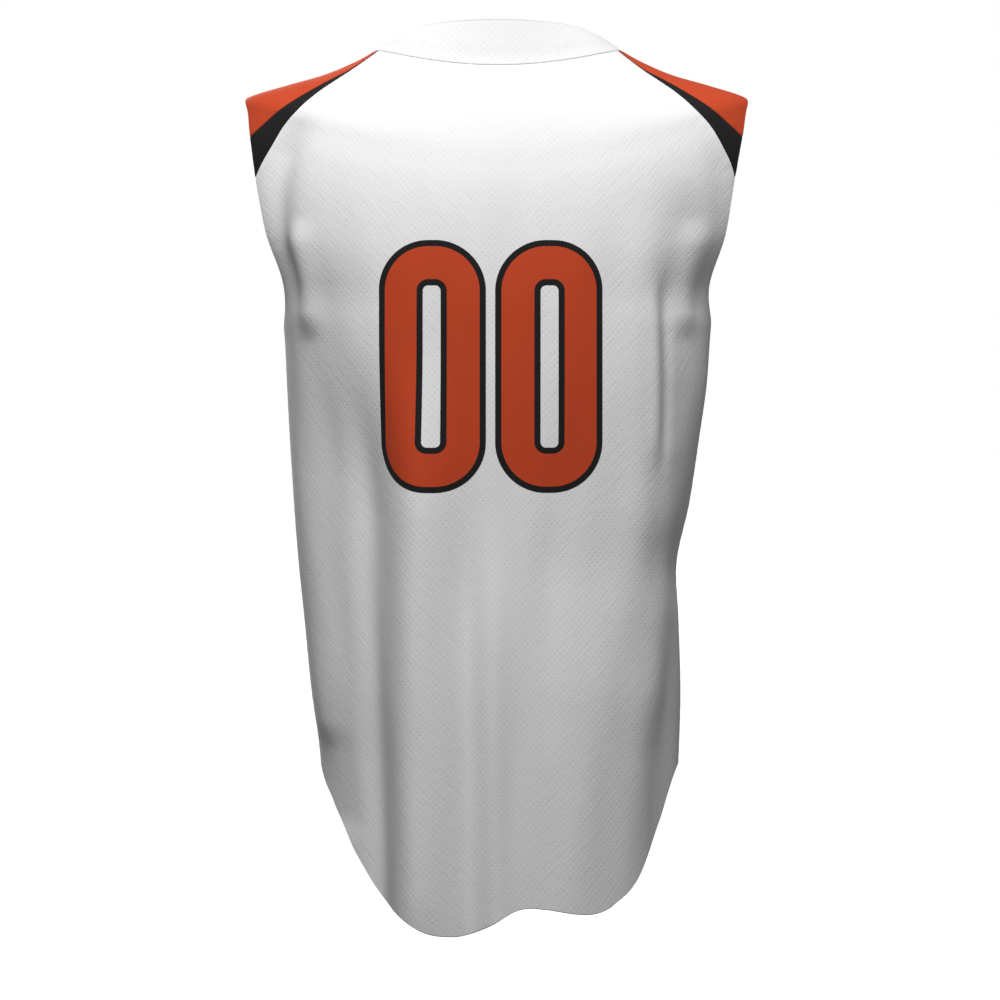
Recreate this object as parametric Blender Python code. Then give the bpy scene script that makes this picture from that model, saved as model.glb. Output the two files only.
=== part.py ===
"""Sleeveless button-front baseball jersey, filled out as on a wearer, with no wearer in it.

Metres. +Z is up, the front faces -Y and the wearer's left is +X. The origin is the middle of the
neck opening at the height where the jersey lies highest on the shoulders.

The whole garment is one surface, given by SECTIONS: closed sections around the body, from below
the hem up to the top edge of the neckband. `turn` is the angle round the body (0 at the middle of
the back, a quarter turn at the wearer's left side) and `level` counts the sections. Each panel is
a region of that surface between its seams, with the cloth's wall behind it.
"""
from collections import namedtuple
from math import pi

import bmesh
import bpy
import numpy as np
from mathutils import Matrix, Vector

# ---------------------------------------------------------------- driving dimensions
WALL = 0.0018            # the cloth, at a turned edge
SEAM_GAP = 0.0003        # between pieces that are sewn together
QUARTER = pi / 2

TIP_Z = -0.0495          # top of the armhole, the shoulder tip
UNDERARM_Z = -0.2500     # bottom of the armhole
ARMHOLE_BACK = 0.0560    # reach of the armhole behind the shoulder tip
ARMHOLE_FRONT = 0.0600   # and in front of it

PLACKET_LEFT = 0.0170    # placket's sewn edge, on the wearer's left
PLACKET_RIGHT = -0.0160  # its free edge
UNDERLAP = 0.0140        # how far the right front runs past the middle, under the placket

BUTTON_RADIUS = 0.0058
BUTTON_HEIGHT = 0.0026
BUTTON_SIDES = 14
BUTTON_PROFILE = [(0.86, 0.0), (1.0, 0.3), (1.0, 0.75), (0.86, 1.0), (0.62, 0.72)]  # shares
BUTTON_TOP_Z = -0.1120
BUTTON_PITCH = 0.0980
BUTTON_COUNT = 6

# Sections. side is the height at the sides; left, right, back and front are the reaches from the
# axis; square is the superellipse's power; the drops say how far the section sinks at the middle
# of the back and of the front, and lift how far it rises just in front of the shoulder.
Section = namedtuple("Section", "side left right back front square back_drop front_drop lift")
SECTIONS = [
    Section(-0.800, 0.1500, 0.1500, 0.116, 0.120, 2.40, 0.000, 0.000, 0.000),
    Section(-0.700, 0.1505, 0.1520, 0.117, 0.122, 2.40, 0.000, 0.000, 0.000),
    Section(-0.623, 0.1540, 0.1555, 0.118, 0.124, 2.40, 0.000, 0.000, 0.000),
    Section(-0.560, 0.1620, 0.1580, 0.119, 0.125, 2.40, 0.000, 0.000, 0.000),
    Section(-0.500, 0.1675, 0.1562, 0.119, 0.126, 2.40, 0.000, 0.000, 0.000),
    Section(-0.450, 0.1720, 0.1545, 0.119, 0.126, 2.40, 0.000, 0.000, 0.000),
    Section(-0.400, 0.1756, 0.1650, 0.120, 0.127, 2.40, 0.000, 0.000, 0.000),
    Section(-0.350, 0.1785, 0.1730, 0.122, 0.129, 2.40, 0.000, 0.000, 0.000),
    Section(-0.300, 0.1812, 0.1800, 0.124, 0.130, 2.40, 0.000, 0.006, 0.000),
    Section(-0.250, 0.1840, 0.1832, 0.125, 0.131, 2.38, 0.005, 0.020, 0.000),
    Section(-0.213, 0.1903, 0.1876, 0.1256, 0.131, 2.28, 0.015, 0.035, 0.000),
    Section(-0.165, 0.2175, 0.2131, 0.1252, 0.130, 2.10, 0.026, 0.061, 0.000),
    Section(-0.120, 0.2312, 0.2258, 0.1236, 0.128, 1.95, 0.039, 0.085, 0.000),
    Section(-0.084, 0.2326, 0.2290, 0.1210, 0.125, 1.85, 0.051, 0.102, 0.000),
    Section(-0.061, 0.2252, 0.2232, 0.1176, 0.121, 1.80, 0.056, 0.109, 0.000),
    Section(-0.0495, 0.2165, 0.2140, 0.1131, 0.116, 1.80, 0.0485, 0.1045, 0.000),
    Section(-0.0392, 0.1840, 0.1830, 0.1063, 0.110, 1.85, 0.0378, 0.0993, 0.004),
    Section(-0.0301, 0.1516, 0.1510, 0.0984, 0.104, 1.90, 0.0279, 0.0914, 0.008),
    Section(-0.0192, 0.1250, 0.1254, 0.0900, 0.097, 1.95, 0.0233, 0.0863, 0.020),
    Section(-0.0090, 0.1068, 0.1072, 0.0800, 0.088, 2.00, 0.0200, 0.0795, 0.022),
    Section(0.0015, 0.0915, 0.0920, 0.0760, 0.079, 2.00, 0.0105, 0.0760, 0.014),
    Section(0.0075, 0.0780, 0.0790, 0.0730, 0.071, 2.00, -0.0030, 0.0700, 0.008),
]
HEM_LEVEL = 2.0
UNDERARM_LEVEL = 9.0
NECK_LEVEL = 19.0
TOP_LEVEL = len(SECTIONS) - 1.0
PLACKET_TOP_LEVEL = 18.93    # just under the neckband's lapped ends

# The back's hem seen from behind: distance from the middle (+ to the wearer's left) and height.
HEM_BACK = [
    (0.1545, -0.624), (0.1476, -0.638), (0.1383, -0.655), (0.1223, -0.691), (0.0999, -0.730),
    (0.0812, -0.747), (0.0623, -0.758), (0.0434, -0.762), (0.0250, -0.761), (0.0033, -0.751),
    (-0.0170, -0.740), (-0.0351, -0.739), (-0.0712, -0.744), (-0.0863, -0.743), (-0.0991, -0.736),
    (-0.1188, -0.7165), (-0.1373, -0.672), (-0.1555, -0.624),
]
# The front's hem, hidden behind the back's tail: heights at even steps of turn from side to middle.
HEM_FRONT = [-0.624, -0.640, -0.663, -0.683, -0.697, -0.704, -0.706]

# Seams of the shoulder insets seen from behind, from near the armhole to near the neck: distance
# from the middle, height of the white-to-black seam and of the black-to-orange one. The front's
# seams mirror them.
INSETS = [
    (0.195, -0.0980, -0.0720),
    (0.180, -0.0750, -0.0605),
    (0.165, -0.0595, -0.0500),
    (0.150, -0.0465, -0.0410),
    (0.135, -0.0350, -0.0325),
    (0.120, -0.0250, -0.0235),
]
ARMHOLE_SEAM = {"white": -0.1220, "orange": -0.0868}     # heights at which they reach the armhole
NECK_SEAM = {"white": np.radians(78), "orange": np.radians(79.4),      # turns at which they
             "front white": np.radians(106), "front orange": np.radians(104.6)}  # reach the neck

# Folds. turn_top and turn_low are the angles (in degrees) where the fold starts and ends, top and
# low its heights; width is its half-width along the cloth and rise how far it stands out.
Fold = namedtuple("Fold", "turn_top turn_low top low width rise")
FOLDS = [
    Fold(51.5, 48.5, -0.28, -0.86, 0.024, -0.0125),  # long trough left of the middle back
    Fold(31.5, 25, -0.28, -0.88, 0.024, 0.0115),     # the ridge beside it
    Fold(67, 64, -0.36, -0.90, 0.030, -0.0050),      # set-back cloth between it and the side
    Fold(-31, -30, -0.44, -0.95, 0.026, 0.0035),     # low ridge right of it
    Fold(-68, -71, -0.47, -1.00, 0.028, -0.0085),    # hollow above the right hem corner
    Fold(-60, -73, -0.13, -0.50, 0.018, -0.0065),    # valley down from the right armhole
    Fold(-47, -50, -0.14, -0.50, 0.020, 0.0045),     # and the ridge beside it
    Fold(68, 71, -0.06, -0.24, 0.016, -0.0050),      # valley inside the left armhole's edge
    Fold(118, 126, -0.26, -0.66, 0.024, -0.0090),    # left front, down from the underarm
    Fold(140, 143, -0.40, -0.95, 0.024, 0.0070),     # and the ridge beside it
    Fold(-116, -128, -0.26, -0.60, 0.022, -0.0085),  # right front, down from the underarm
    Fold(-142, -144, -0.44, -0.95, 0.026, 0.0065),   # and the ridge beside it
]
FADE = 0.25              # share of a fold's length over which each end dies out

# Grid of each panel.
BACK_COLUMNS = 28
FRONT_COLUMNS = 12
BODY_ROWS = 16           # from the hem to the underarm
ARM_ROWS = 6             # along the armhole up to the insets
CRESCENT_COLUMNS = 2
SHOULDER_COLUMNS = 6
NECK_ROWS = 2
SEAM_ROWS = 8            # along an inset's seam, from the armhole to the neck
PLACKET_COLUMNS = 3
BAND_RISE = (160, 172)   # turns between which the band's left end rises over its right end
HALVINGS = 40            # steps of the search for a place

# ---------------------------------------------------------------- colours
WHITE = (0.86, 0.86, 0.85)
ORANGE = (0.62, 0.070, 0.022)
BLACK = (0.014, 0.013, 0.015)
BUTTON_WHITE = (0.80, 0.80, 0.78)
CLOTH_ROUGHNESS = 0.8
BUTTON_ROUGHNESS = 0.35


# ---------------------------------------------------------------- the surface
def smooth_table(rows, at):
    """Reads columns of numbers at fractional rows, with a smooth curve through them."""
    table = np.asarray(rows, float)
    last = len(table) - 1
    at = np.clip(np.asarray(at, float), 0, last)
    row = np.minimum(at.astype(int), last - 1)
    t = (at - row)[..., None]
    here, there = table[row], table[row + 1]
    slope_here = (there - table[np.maximum(row - 1, 0)]) / 2
    slope_there = (table[np.minimum(row + 2, last)] - here) / 2
    ease = t * t * (3 - 2 * t)
    return here + ease * (there - here) + t * (1 - t) ** 2 * slope_here - t * t * (1 - t) * slope_there


def section_at(level):
    return Section(*np.moveaxis(smooth_table(SECTIONS, level), -1, 0))


def height(section, depth_share, back_side):
    """Height on a section where the cloth has this share of its full reach, back or front."""
    share = depth_share ** 2
    back = section.side - section.back_drop * share
    front = section.side + section.lift * 4 * share * (1 - share) - section.front_drop * share ** 2
    return np.where(back_side, back, front)


def plain_point(turn, level):
    """A point of the surface before its folds."""
    section = section_at(level)
    across, along = np.sin(turn), np.cos(turn)
    back_side = along > 0
    width = np.where(across > 0, section.left, section.right)
    depth = np.where(back_side, section.back, section.front)
    power = section.square
    reach = (np.abs(across / width) ** power + np.abs(along / depth) ** power) ** (-1 / power)
    share = np.abs(reach * along) / depth
    return np.stack([reach * across, reach * along, height(section, share, back_side)], -1)


def smooth_step(low, high, value):
    t = np.clip((value - low) / (high - low), 0, 1)
    return t * t * (3 - 2 * t)


def fold_rise(turn, point):
    """How far the folds push the cloth out at these places."""
    z = point[..., 2]
    radius = np.hypot(point[..., 0], point[..., 1])
    total = np.zeros_like(z)
    for fold in FOLDS:
        run = np.clip((fold.top - z) / (fold.top - fold.low), 0, 1)
        middle = np.radians(fold.turn_top + (fold.turn_low - fold.turn_top) * run)
        away = (turn - middle + pi) % (2 * pi) - pi
        ends = smooth_step(0, FADE, run) * (1 - smooth_step(1 - FADE, 1, run))
        total += fold.rise * ends * np.exp(-(away * radius / fold.width) ** 2)
    return total


def unit(vectors):
    return vectors / np.linalg.norm(vectors, axis=-1, keepdims=True)


def normals(surface, turn, level, step=0.002):
    level = np.clip(level, 4 * step, len(SECTIONS) - 1 - 4 * step)
    around = surface(turn + step, level) - surface(turn - step, level)
    upwards = surface(turn, level + step) - surface(turn, level - step)
    return unit(np.cross(upwards, around))


def surface_point(turn, level):
    """A point of the cloth's outer face."""
    point = plain_point(turn, level)
    return point + normals(plain_point, turn, level) * fold_rise(turn, point)[..., None]


# ---------------------------------------------------------------- places on the surface
# A place is a pair (turn, level).
def find(z, side, back_side, x=None, y=None):
    """Places at heights z on one side, at the back or the front, whose x or else y is known."""
    z = np.asarray(z, float)
    low, high = np.zeros_like(z), np.full_like(z, NECK_LEVEL)
    for _ in range(HALVINGS):
        level = (low + high) / 2
        section = section_at(level)
        width = section.left if side > 0 else section.right
        depth = section.back if back_side else section.front
        power = section.square
        if x is not None:
            across = np.clip(np.abs(x) / width, 0, 1)
            along = (1 - across ** power) ** (1 / power)
        else:
            along = np.clip(np.abs(y) / depth, 0, 1)
            across = (1 - along ** power) ** (1 / power)
        above = height(section, along, back_side) > z
        low, high = np.where(above, low, level), np.where(above, level, high)
    facing = 1 if back_side else -1
    return np.stack([np.arctan2(side * across * width, facing * along * depth), level], -1)


def armhole(heights, side, back_side):
    """Places on one half of an armhole's edge, which is an ellipse seen from the side."""
    middle, half = (TIP_Z + UNDERARM_Z) / 2, (TIP_Z - UNDERARM_Z) / 2
    reach = ARMHOLE_BACK if back_side else ARMHOLE_FRONT
    share = np.clip((np.asarray(heights) - middle) / half, -1, 1)
    return find(heights, side, back_side, y=reach * np.sqrt(1 - share ** 2))


def armhole_heights(low, high, steps):
    """Heights between two heights of the armhole's edge, at even steps round its ellipse."""
    middle, half = (TIP_Z + UNDERARM_Z) / 2, (TIP_Z - UNDERARM_Z) / 2
    angles = np.linspace(np.arccos((middle - low) / half), np.arccos((middle - high) / half), steps + 1)
    return middle - half * np.cos(angles)


def inset_seam(side, back_side, colour):
    """Places along a seam of the shoulder inset, from the armhole to the neck."""
    corner = armhole([ARMHOLE_SEAM[colour]], side, back_side)[0]
    neck = np.array([side * NECK_SEAM[colour if back_side else "front " + colour], NECK_LEVEL])
    ends = [plain_point(*place) * (side, 1, 1) for place in (corner, neck)]
    between = np.array(INSETS)[:, [0, {"white": 1, "orange": 2}[colour]]]
    knots = [ends[0][[0, 2]], *between, ends[1][[0, 2]]]
    x, z = smooth_table(knots, np.linspace(0, len(knots) - 1, SEAM_ROWS + 1)).T
    places = find(z, side, back_side, x=x)
    places[0], places[-1] = corner, neck
    return places


def upper_edge(side, back_side):
    """Places along a white panel's edge, from the underarm to the neck."""
    heights = armhole_heights(UNDERARM_Z, ARMHOLE_SEAM["white"], ARM_ROWS)
    edge = armhole(heights, side, back_side)
    edge[0] = side * QUARTER, UNDERARM_LEVEL
    return np.vstack([edge[:-1], inset_seam(side, back_side, "white")])


def hem_level(turn):
    """Level of the hem at these turns."""
    back_side = np.cos(turn) > 0
    x_points, z_points = np.array(HEM_BACK)[::-1].T
    level = np.full_like(turn, HEM_LEVEL)
    for _ in range(4):
        row = np.interp(surface_point(turn, level)[..., 0], x_points, np.arange(len(x_points)))
        z_back = smooth_table(z_points[:, None], row)[..., 0]
        share = (np.abs((turn + pi) % (2 * pi) - pi) / QUARTER - 1) * (len(HEM_FRONT) - 1)
        z_front = smooth_table(np.array(HEM_FRONT)[:, None], share)[..., 0]
        z = np.where(back_side, z_back, z_front)
        level = find(z, 1, True, y=0.0)[..., 1]
    return level


def front_turn(x, level, side):
    """Turn at which a front, counted from its own side, reaches the distance x from the middle."""
    section = section_at(level)
    width = section.left if x > 0 else section.right
    along = (1 - (abs(x) / width) ** section.square) ** (1 / section.square)
    turn = np.arctan2(x, -along * section.front)
    return np.where(turn * side < 0, turn + side * 2 * pi, turn)


def body_grid(lower, upper):
    """Places of a whole panel: rows from the hem to the underarm, then the given upper rows."""
    share = np.linspace(0, 1, BODY_ROWS + 1)[:-1, None]
    turn = np.broadcast_to(lower, (BODY_ROWS, len(lower)))
    level = hem_level(turn) * (1 - share) + UNDERARM_LEVEL * share
    return np.vstack([np.stack([turn, level], -1), upper])


# ---------------------------------------------------------------- solids
def pull_in(points, distance=SEAM_GAP / 2):
    """Moves each border of a grid of points towards its inside, square to the border."""
    moved = points.copy()
    for axis in (0, 1):
        grid, result = np.moveaxis(points, axis, 0), np.moveaxis(moved, axis, 0)
        for border, inside in ((0, 1), (-1, -2)):
            along = unit(np.gradient(grid[border], axis=0))
            inwards = grid[inside] - grid[border]
            inwards = inwards - along * np.sum(inwards * along, -1, keepdims=True)
            result[border] += unit(inwards) * distance
    return moved


def add_object(name, mesh, colour, roughness):
    mesh.shade_smooth()
    mesh.set_sharp_from_angle(angle=pi / 4)
    material = bpy.data.materials.new(name)
    material.use_nodes = True
    shader = material.node_tree.nodes["Principled BSDF"]
    shader.inputs["Base Color"].default_value = (*colour, 1)
    shader.inputs["Roughness"].default_value = roughness
    shader.inputs["Metallic"].default_value = 0
    mesh.materials.append(material)
    piece = bpy.data.objects.new(name, mesh)
    bpy.context.scene.collection.objects.link(piece)
    piece.parent = bpy.data.objects["jersey"]
    return piece


def add_panel(name, places, colour, lift=0.0):
    """A cloth wall under a grid of places; lift raises its inner face off the common surface."""
    turn, level = places[..., 0], places[..., 1]
    outwards = normals(surface_point, turn, level)
    middle = pull_in(surface_point(turn, level))
    raised = np.broadcast_to(lift, turn.shape)[..., None]
    outer = middle + outwards * raised
    inner = outer - outwards * WALL
    rows, columns = turn.shape
    mesh_in = bmesh.new()
    faces = [[[mesh_in.verts.new(point) for point in row] for row in grid] for grid in (outer, inner)]
    for grid in faces:
        for i in range(rows - 1):
            for j in range(columns - 1):
                mesh_in.faces.new((grid[i][j], grid[i + 1][j], grid[i + 1][j + 1], grid[i][j + 1]))
    border = [(0, j) for j in range(columns - 1)] + [(i, columns - 1) for i in range(rows - 1)]
    border += [(rows - 1, j) for j in range(columns - 1, 0, -1)] + [(i, 0) for i in range(rows - 1, 0, -1)]
    for (i, j), (k, m) in zip(border, border[1:] + border[:1]):
        mesh_in.faces.new((faces[0][i][j], faces[0][k][m], faces[1][k][m], faces[1][i][j]))
    bmesh.ops.recalc_face_normals(mesh_in, faces=mesh_in.faces)
    mesh = bpy.data.meshes.new(name)
    mesh_in.to_mesh(mesh)
    mesh_in.free()
    return add_object(name, mesh, colour, CLOTH_ROUGHNESS)


def blend(start, end, share):
    """Grid between two lists of places: a row for each pair, a column for each share."""
    return start[:, None] + (end - start)[:, None] * np.asarray(share)[None, :, None]


def across_back(start, end):
    """Grid of places between the back's two edges. Its middle has even columns and rows, and the
    nearer a column is to an edge, the more it is drawn along with it."""
    share = np.linspace(0, 1, BACK_COLUMNS + 1)
    rows = np.linspace(UNDERARM_LEVEL, NECK_LEVEL, len(start))
    home = np.stack(np.meshgrid(QUARTER * (2 * share - 1), rows), -1)
    pull_start, pull_end = ((1 - share) ** 3)[:, None], (share ** 3)[:, None]
    return home + (start[:, None] - home[:, :1]) * pull_start + (end[:, None] - home[:, -1:]) * pull_end


def back_places():
    upper = across_back(upper_edge(-1, True), upper_edge(1, True))
    return body_grid(upper[0, :, 0], upper)


def front_grid(side, edge_x):
    """Places of a front from its side seam to the distance edge_x from the middle."""
    side_edge = upper_edge(side, False)
    middle = side_edge.copy()
    middle[:, 0] = front_turn(edge_x, side_edge[:, 1], side)
    upper = blend(side_edge, middle, np.linspace(0, 1, FRONT_COLUMNS + 1))
    return body_grid(upper[0, :, 0], upper)


def add_fronts():
    add_panel("front_left", front_grid(1, UNDERLAP + SEAM_GAP), WHITE)
    add_panel("front_right", front_grid(-1, UNDERLAP), WHITE)


def add_placket():
    levels = upper_edge(1, False)[:, 1]
    edges = [np.stack([front_turn(x, levels, 1), levels], -1) for x in (PLACKET_LEFT, PLACKET_RIGHT)]
    upper = blend(*edges, np.linspace(0, 1, PLACKET_COLUMNS + 1))
    upper[-1, :, 1] = PLACKET_TOP_LEVEL
    add_panel("placket", body_grid(upper[0, :, 0], upper), WHITE, lift=SEAM_GAP + WALL)


def inset_grid(low_seam, high_seam, rim):
    """Places between two seams that run from the armhole's rim to the neck."""
    share = (rim[:, 0] - rim[0, 0]) / (rim[-1, 0] - rim[0, 0])
    turn = blend(low_seam, high_seam, share)[..., 0]
    run = [(NECK_LEVEL - seam[:, 1]) / (NECK_LEVEL - seam[0, 1]) for seam in (low_seam, high_seam)]
    down = run[0][:, None] * (1 - share) + run[1][:, None] * share
    return np.stack([turn, NECK_LEVEL - (NECK_LEVEL - rim[:, 1]) * down], -1)


def add_insets(side, side_name):
    rims = []
    for back_side, face in ((True, "back"), (False, "front")):
        white, orange = (inset_seam(side, back_side, colour) for colour in ("white", "orange"))
        heights = armhole_heights(ARMHOLE_SEAM["white"], ARMHOLE_SEAM["orange"], CRESCENT_COLUMNS)
        grid = inset_grid(white, orange, armhole(heights, side, back_side))
        add_panel(f"crescent_{face}_{side_name}", grid, BLACK)
        heights = armhole_heights(ARMHOLE_SEAM["orange"], TIP_Z, SHOULDER_COLUMNS // 2)
        rims.append(armhole(heights, side, back_side))
    rim = np.vstack([rims[0], rims[1][-2::-1]])
    seams = [inset_seam(side, back_side, "orange") for back_side in (True, False)]
    add_panel(f"shoulder_{side_name}", inset_grid(*seams, rim), ORANGE)


def neck_turns():
    """Turns of the neckband's columns, the same as those of the panels below it."""
    white, orange, front_white, front_orange = NECK_SEAM.values()
    right, inner, left = (front_turn(x, NECK_LEVEL, side) for x, side in
                          ((UNDERLAP, -1), (UNDERLAP + SEAM_GAP, 1), (PLACKET_RIGHT, 1)))
    return np.concatenate([
        np.linspace(right, -front_white, FRONT_COLUMNS + 1),
        np.linspace(-front_orange, -orange, SHOULDER_COLUMNS + 1),
        back_places()[-1, :, 0],
        np.linspace(orange, front_orange, SHOULDER_COLUMNS + 1),
        np.linspace(front_white, inner, FRONT_COLUMNS + 1),
        np.linspace(inner, left, PLACKET_COLUMNS + 1)[1:]])


def add_neckband():
    """The band's right end lies under its left end, which is raised clear of it."""
    turn = neck_turns()
    level = np.linspace(NECK_LEVEL, TOP_LEVEL, NECK_ROWS + 1)
    places = np.stack(np.meshgrid(turn, level), -1)
    raised = smooth_step(*np.radians(BAND_RISE), turn) * (WALL + 2 * SEAM_GAP)
    add_panel("neckband", places, WHITE, lift=raised)


def add_button(name, z):
    """A turned disc with a raised rim, its flat back just clear of the placket."""
    turn, level = find(z, 1, False, x=(PLACKET_LEFT + PLACKET_RIGHT) / 2)
    outwards = normals(surface_point, turn, level)
    seat = surface_point(turn, level) + outwards * (WALL + 2 * SEAM_GAP)
    mesh_in = bmesh.new()
    rings = [[mesh_in.verts.new(Matrix.Rotation(2 * pi * k / BUTTON_SIDES, 3, "Z") @
                                Vector((radius * BUTTON_RADIUS, 0, rise * BUTTON_HEIGHT)))
              for k in range(BUTTON_SIDES)] for radius, rise in BUTTON_PROFILE]
    for low, high in zip(rings, rings[1:]):
        for k in range(BUTTON_SIDES):
            mesh_in.faces.new((low[k - 1], low[k], high[k], high[k - 1]))
    mesh_in.faces.new(rings[0][::-1])
    mesh_in.faces.new(rings[-1])
    mesh = bpy.data.meshes.new(name)
    mesh_in.to_mesh(mesh)
    mesh_in.free()
    piece = add_object(name, mesh, BUTTON_WHITE, BUTTON_ROUGHNESS)
    piece.location = seat
    piece.rotation_euler = Vector(outwards).to_track_quat("Z", "X").to_euler()


def main():
    for old in list(bpy.data.objects):
        bpy.data.objects.remove(old)
    bpy.context.scene.collection.objects.link(bpy.data.objects.new("jersey", None))
    add_panel("back", back_places(), WHITE)
    add_fronts()
    add_placket()
    add_insets(1, "left")
    add_insets(-1, "right")
    add_neckband()
    for number in range(BUTTON_COUNT):
        add_button(f"button_{number + 1}", BUTTON_TOP_Z - number * BUTTON_PITCH)


main()
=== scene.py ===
"""Visual model of a sleeveless button-front baseball jersey, filled out with no wearer in it.

Metres. +Z is up, the front faces -Y and the wearer's left is +X. The garment is one surface of
closed sections round the body. `turn` is the angle round the body (0 at the middle of the back, a
quarter turn at the wearer's left side) and `level` counts the sections from below the hem up to
the neckband's top edge. Each panel of cloth is a thin shell on its own region of that surface.
"""
from collections import namedtuple
from math import pi, radians

import bpy
import numpy as np
from bpy.props import FloatProperty, FloatVectorProperty, IntProperty, PointerProperty
from bpy.types import Operator, Panel, PropertyGroup
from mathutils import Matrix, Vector
from mathutils.kdtree import KDTree


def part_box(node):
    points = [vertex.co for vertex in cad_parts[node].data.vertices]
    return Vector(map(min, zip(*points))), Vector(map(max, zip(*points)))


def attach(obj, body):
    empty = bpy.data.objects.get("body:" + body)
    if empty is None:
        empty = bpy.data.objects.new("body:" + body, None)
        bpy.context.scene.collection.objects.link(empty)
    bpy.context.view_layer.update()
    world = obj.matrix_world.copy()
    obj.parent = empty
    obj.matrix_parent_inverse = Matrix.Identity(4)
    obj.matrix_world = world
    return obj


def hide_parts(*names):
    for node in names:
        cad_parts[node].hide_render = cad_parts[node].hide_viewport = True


bl_info = {
    "name": "Sleeveless baseball jersey",
    "version": (1, 0, 0),
    "blender": (4, 5, 0),
    "location": "View3D > Sidebar > Jersey",
    "description": "Builds the cloth panels, buttons and studio of a sleeveless baseball jersey",
    "category": "Add Mesh",
}

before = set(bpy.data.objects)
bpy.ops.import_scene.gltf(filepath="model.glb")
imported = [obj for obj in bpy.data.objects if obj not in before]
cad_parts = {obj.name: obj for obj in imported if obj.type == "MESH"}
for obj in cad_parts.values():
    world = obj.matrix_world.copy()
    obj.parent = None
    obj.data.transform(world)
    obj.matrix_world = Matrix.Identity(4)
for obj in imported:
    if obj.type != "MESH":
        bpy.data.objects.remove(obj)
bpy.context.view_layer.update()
BODY = "root"

# ---------------------------------------------------------------- the garment's surface
QUARTER = pi / 2
TIP_Z = -0.0495          # top of the armhole, the shoulder tip
UNDERARM_Z = -0.2500     # bottom of the armhole
ARMHOLE_BACK = 0.0560    # reach of the armhole behind the shoulder tip
ARMHOLE_FRONT = 0.0600   # and in front of it
PLACKET_LEFT = 0.0170    # placket's sewn edge, on the wearer's left
PLACKET_RIGHT = -0.0160  # its free edge
UNDERLAP = 0.0140        # how far the right front runs past the middle, under the placket
LAYER = 0.0018           # height by which one layer stands over another
LAYER_GAP = 0.0003       # room between two layers that lie on each other

# side is the height at the sides; left, right, back and front are the reaches from the axis;
# square is the superellipse's power; the drops say how far the section sinks at the middle of the
# back and of the front, and lift how far it rises just in front of the shoulder.
Section = namedtuple("Section", "side left right back front square back_drop front_drop lift")
SECTIONS = [
    Section(-0.800, 0.1500, 0.1500, 0.116, 0.120, 2.40, 0.000, 0.000, 0.000),
    Section(-0.700, 0.1505, 0.1520, 0.117, 0.122, 2.40, 0.000, 0.000, 0.000),
    Section(-0.623, 0.1540, 0.1555, 0.118, 0.124, 2.40, 0.000, 0.000, 0.000),
    Section(-0.560, 0.1620, 0.1580, 0.119, 0.125, 2.40, 0.000, 0.000, 0.000),
    Section(-0.500, 0.1675, 0.1562, 0.119, 0.126, 2.40, 0.000, 0.000, 0.000),
    Section(-0.450, 0.1720, 0.1545, 0.119, 0.126, 2.40, 0.000, 0.000, 0.000),
    Section(-0.400, 0.1756, 0.1650, 0.120, 0.127, 2.40, 0.000, 0.000, 0.000),
    Section(-0.350, 0.1785, 0.1730, 0.122, 0.129, 2.40, 0.000, 0.000, 0.000),
    Section(-0.300, 0.1812, 0.1800, 0.124, 0.130, 2.40, 0.000, 0.006, 0.000),
    Section(-0.250, 0.1840, 0.1832, 0.125, 0.131, 2.38, 0.005, 0.020, 0.000),
    Section(-0.213, 0.1903, 0.1876, 0.1256, 0.131, 2.28, 0.015, 0.035, 0.000),
    Section(-0.165, 0.2175, 0.2131, 0.1252, 0.130, 2.10, 0.026, 0.061, 0.000),
    Section(-0.120, 0.2312, 0.2258, 0.1236, 0.128, 1.95, 0.039, 0.085, 0.000),
    Section(-0.084, 0.2326, 0.2290, 0.1210, 0.125, 1.85, 0.051, 0.102, 0.000),
    Section(-0.061, 0.2252, 0.2232, 0.1176, 0.121, 1.80, 0.056, 0.109, 0.000),
    Section(-0.0495, 0.2165, 0.2140, 0.1131, 0.116, 1.80, 0.0485, 0.1045, 0.000),
    Section(-0.0392, 0.1840, 0.1830, 0.1063, 0.110, 1.85, 0.0378, 0.0993, 0.004),
    Section(-0.0301, 0.1516, 0.1510, 0.0984, 0.104, 1.90, 0.0279, 0.0914, 0.008),
    Section(-0.0192, 0.1250, 0.1254, 0.0900, 0.097, 1.95, 0.0233, 0.0863, 0.020),
    Section(-0.0090, 0.1068, 0.1072, 0.0800, 0.088, 2.00, 0.0200, 0.0795, 0.022),
    Section(0.0015, 0.0915, 0.0920, 0.0760, 0.079, 2.00, 0.0105, 0.0760, 0.014),
    Section(0.0075, 0.0780, 0.0790, 0.0730, 0.071, 2.00, -0.0030, 0.0700, 0.008),
]
HEM_LEVEL = 2.0
UNDERARM_LEVEL = 9.0
NECK_LEVEL = 19.0
TOP_LEVEL = len(SECTIONS) - 1.0
PLACKET_TOP_LEVEL = 18.93    # just under the neckband's lapped ends

# The back's hem seen from behind: distance from the middle (+ to the wearer's left) and height.
HEM_BACK = [
    (0.1545, -0.624), (0.1476, -0.640), (0.1383, -0.661), (0.1223, -0.695), (0.0999, -0.730),
    (0.0812, -0.747), (0.0623, -0.758), (0.0434, -0.762), (0.0250, -0.761), (0.0033, -0.751),
    (-0.0170, -0.740), (-0.0351, -0.739), (-0.0712, -0.744), (-0.0863, -0.743), (-0.0991, -0.736),
    (-0.1188, -0.7165), (-0.1373, -0.672), (-0.1555, -0.624),
]
# The front's hem: heights at even steps of turn from the side to the middle.
HEM_FRONT = [-0.624, -0.640, -0.663, -0.683, -0.697, -0.704, -0.706]

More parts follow.
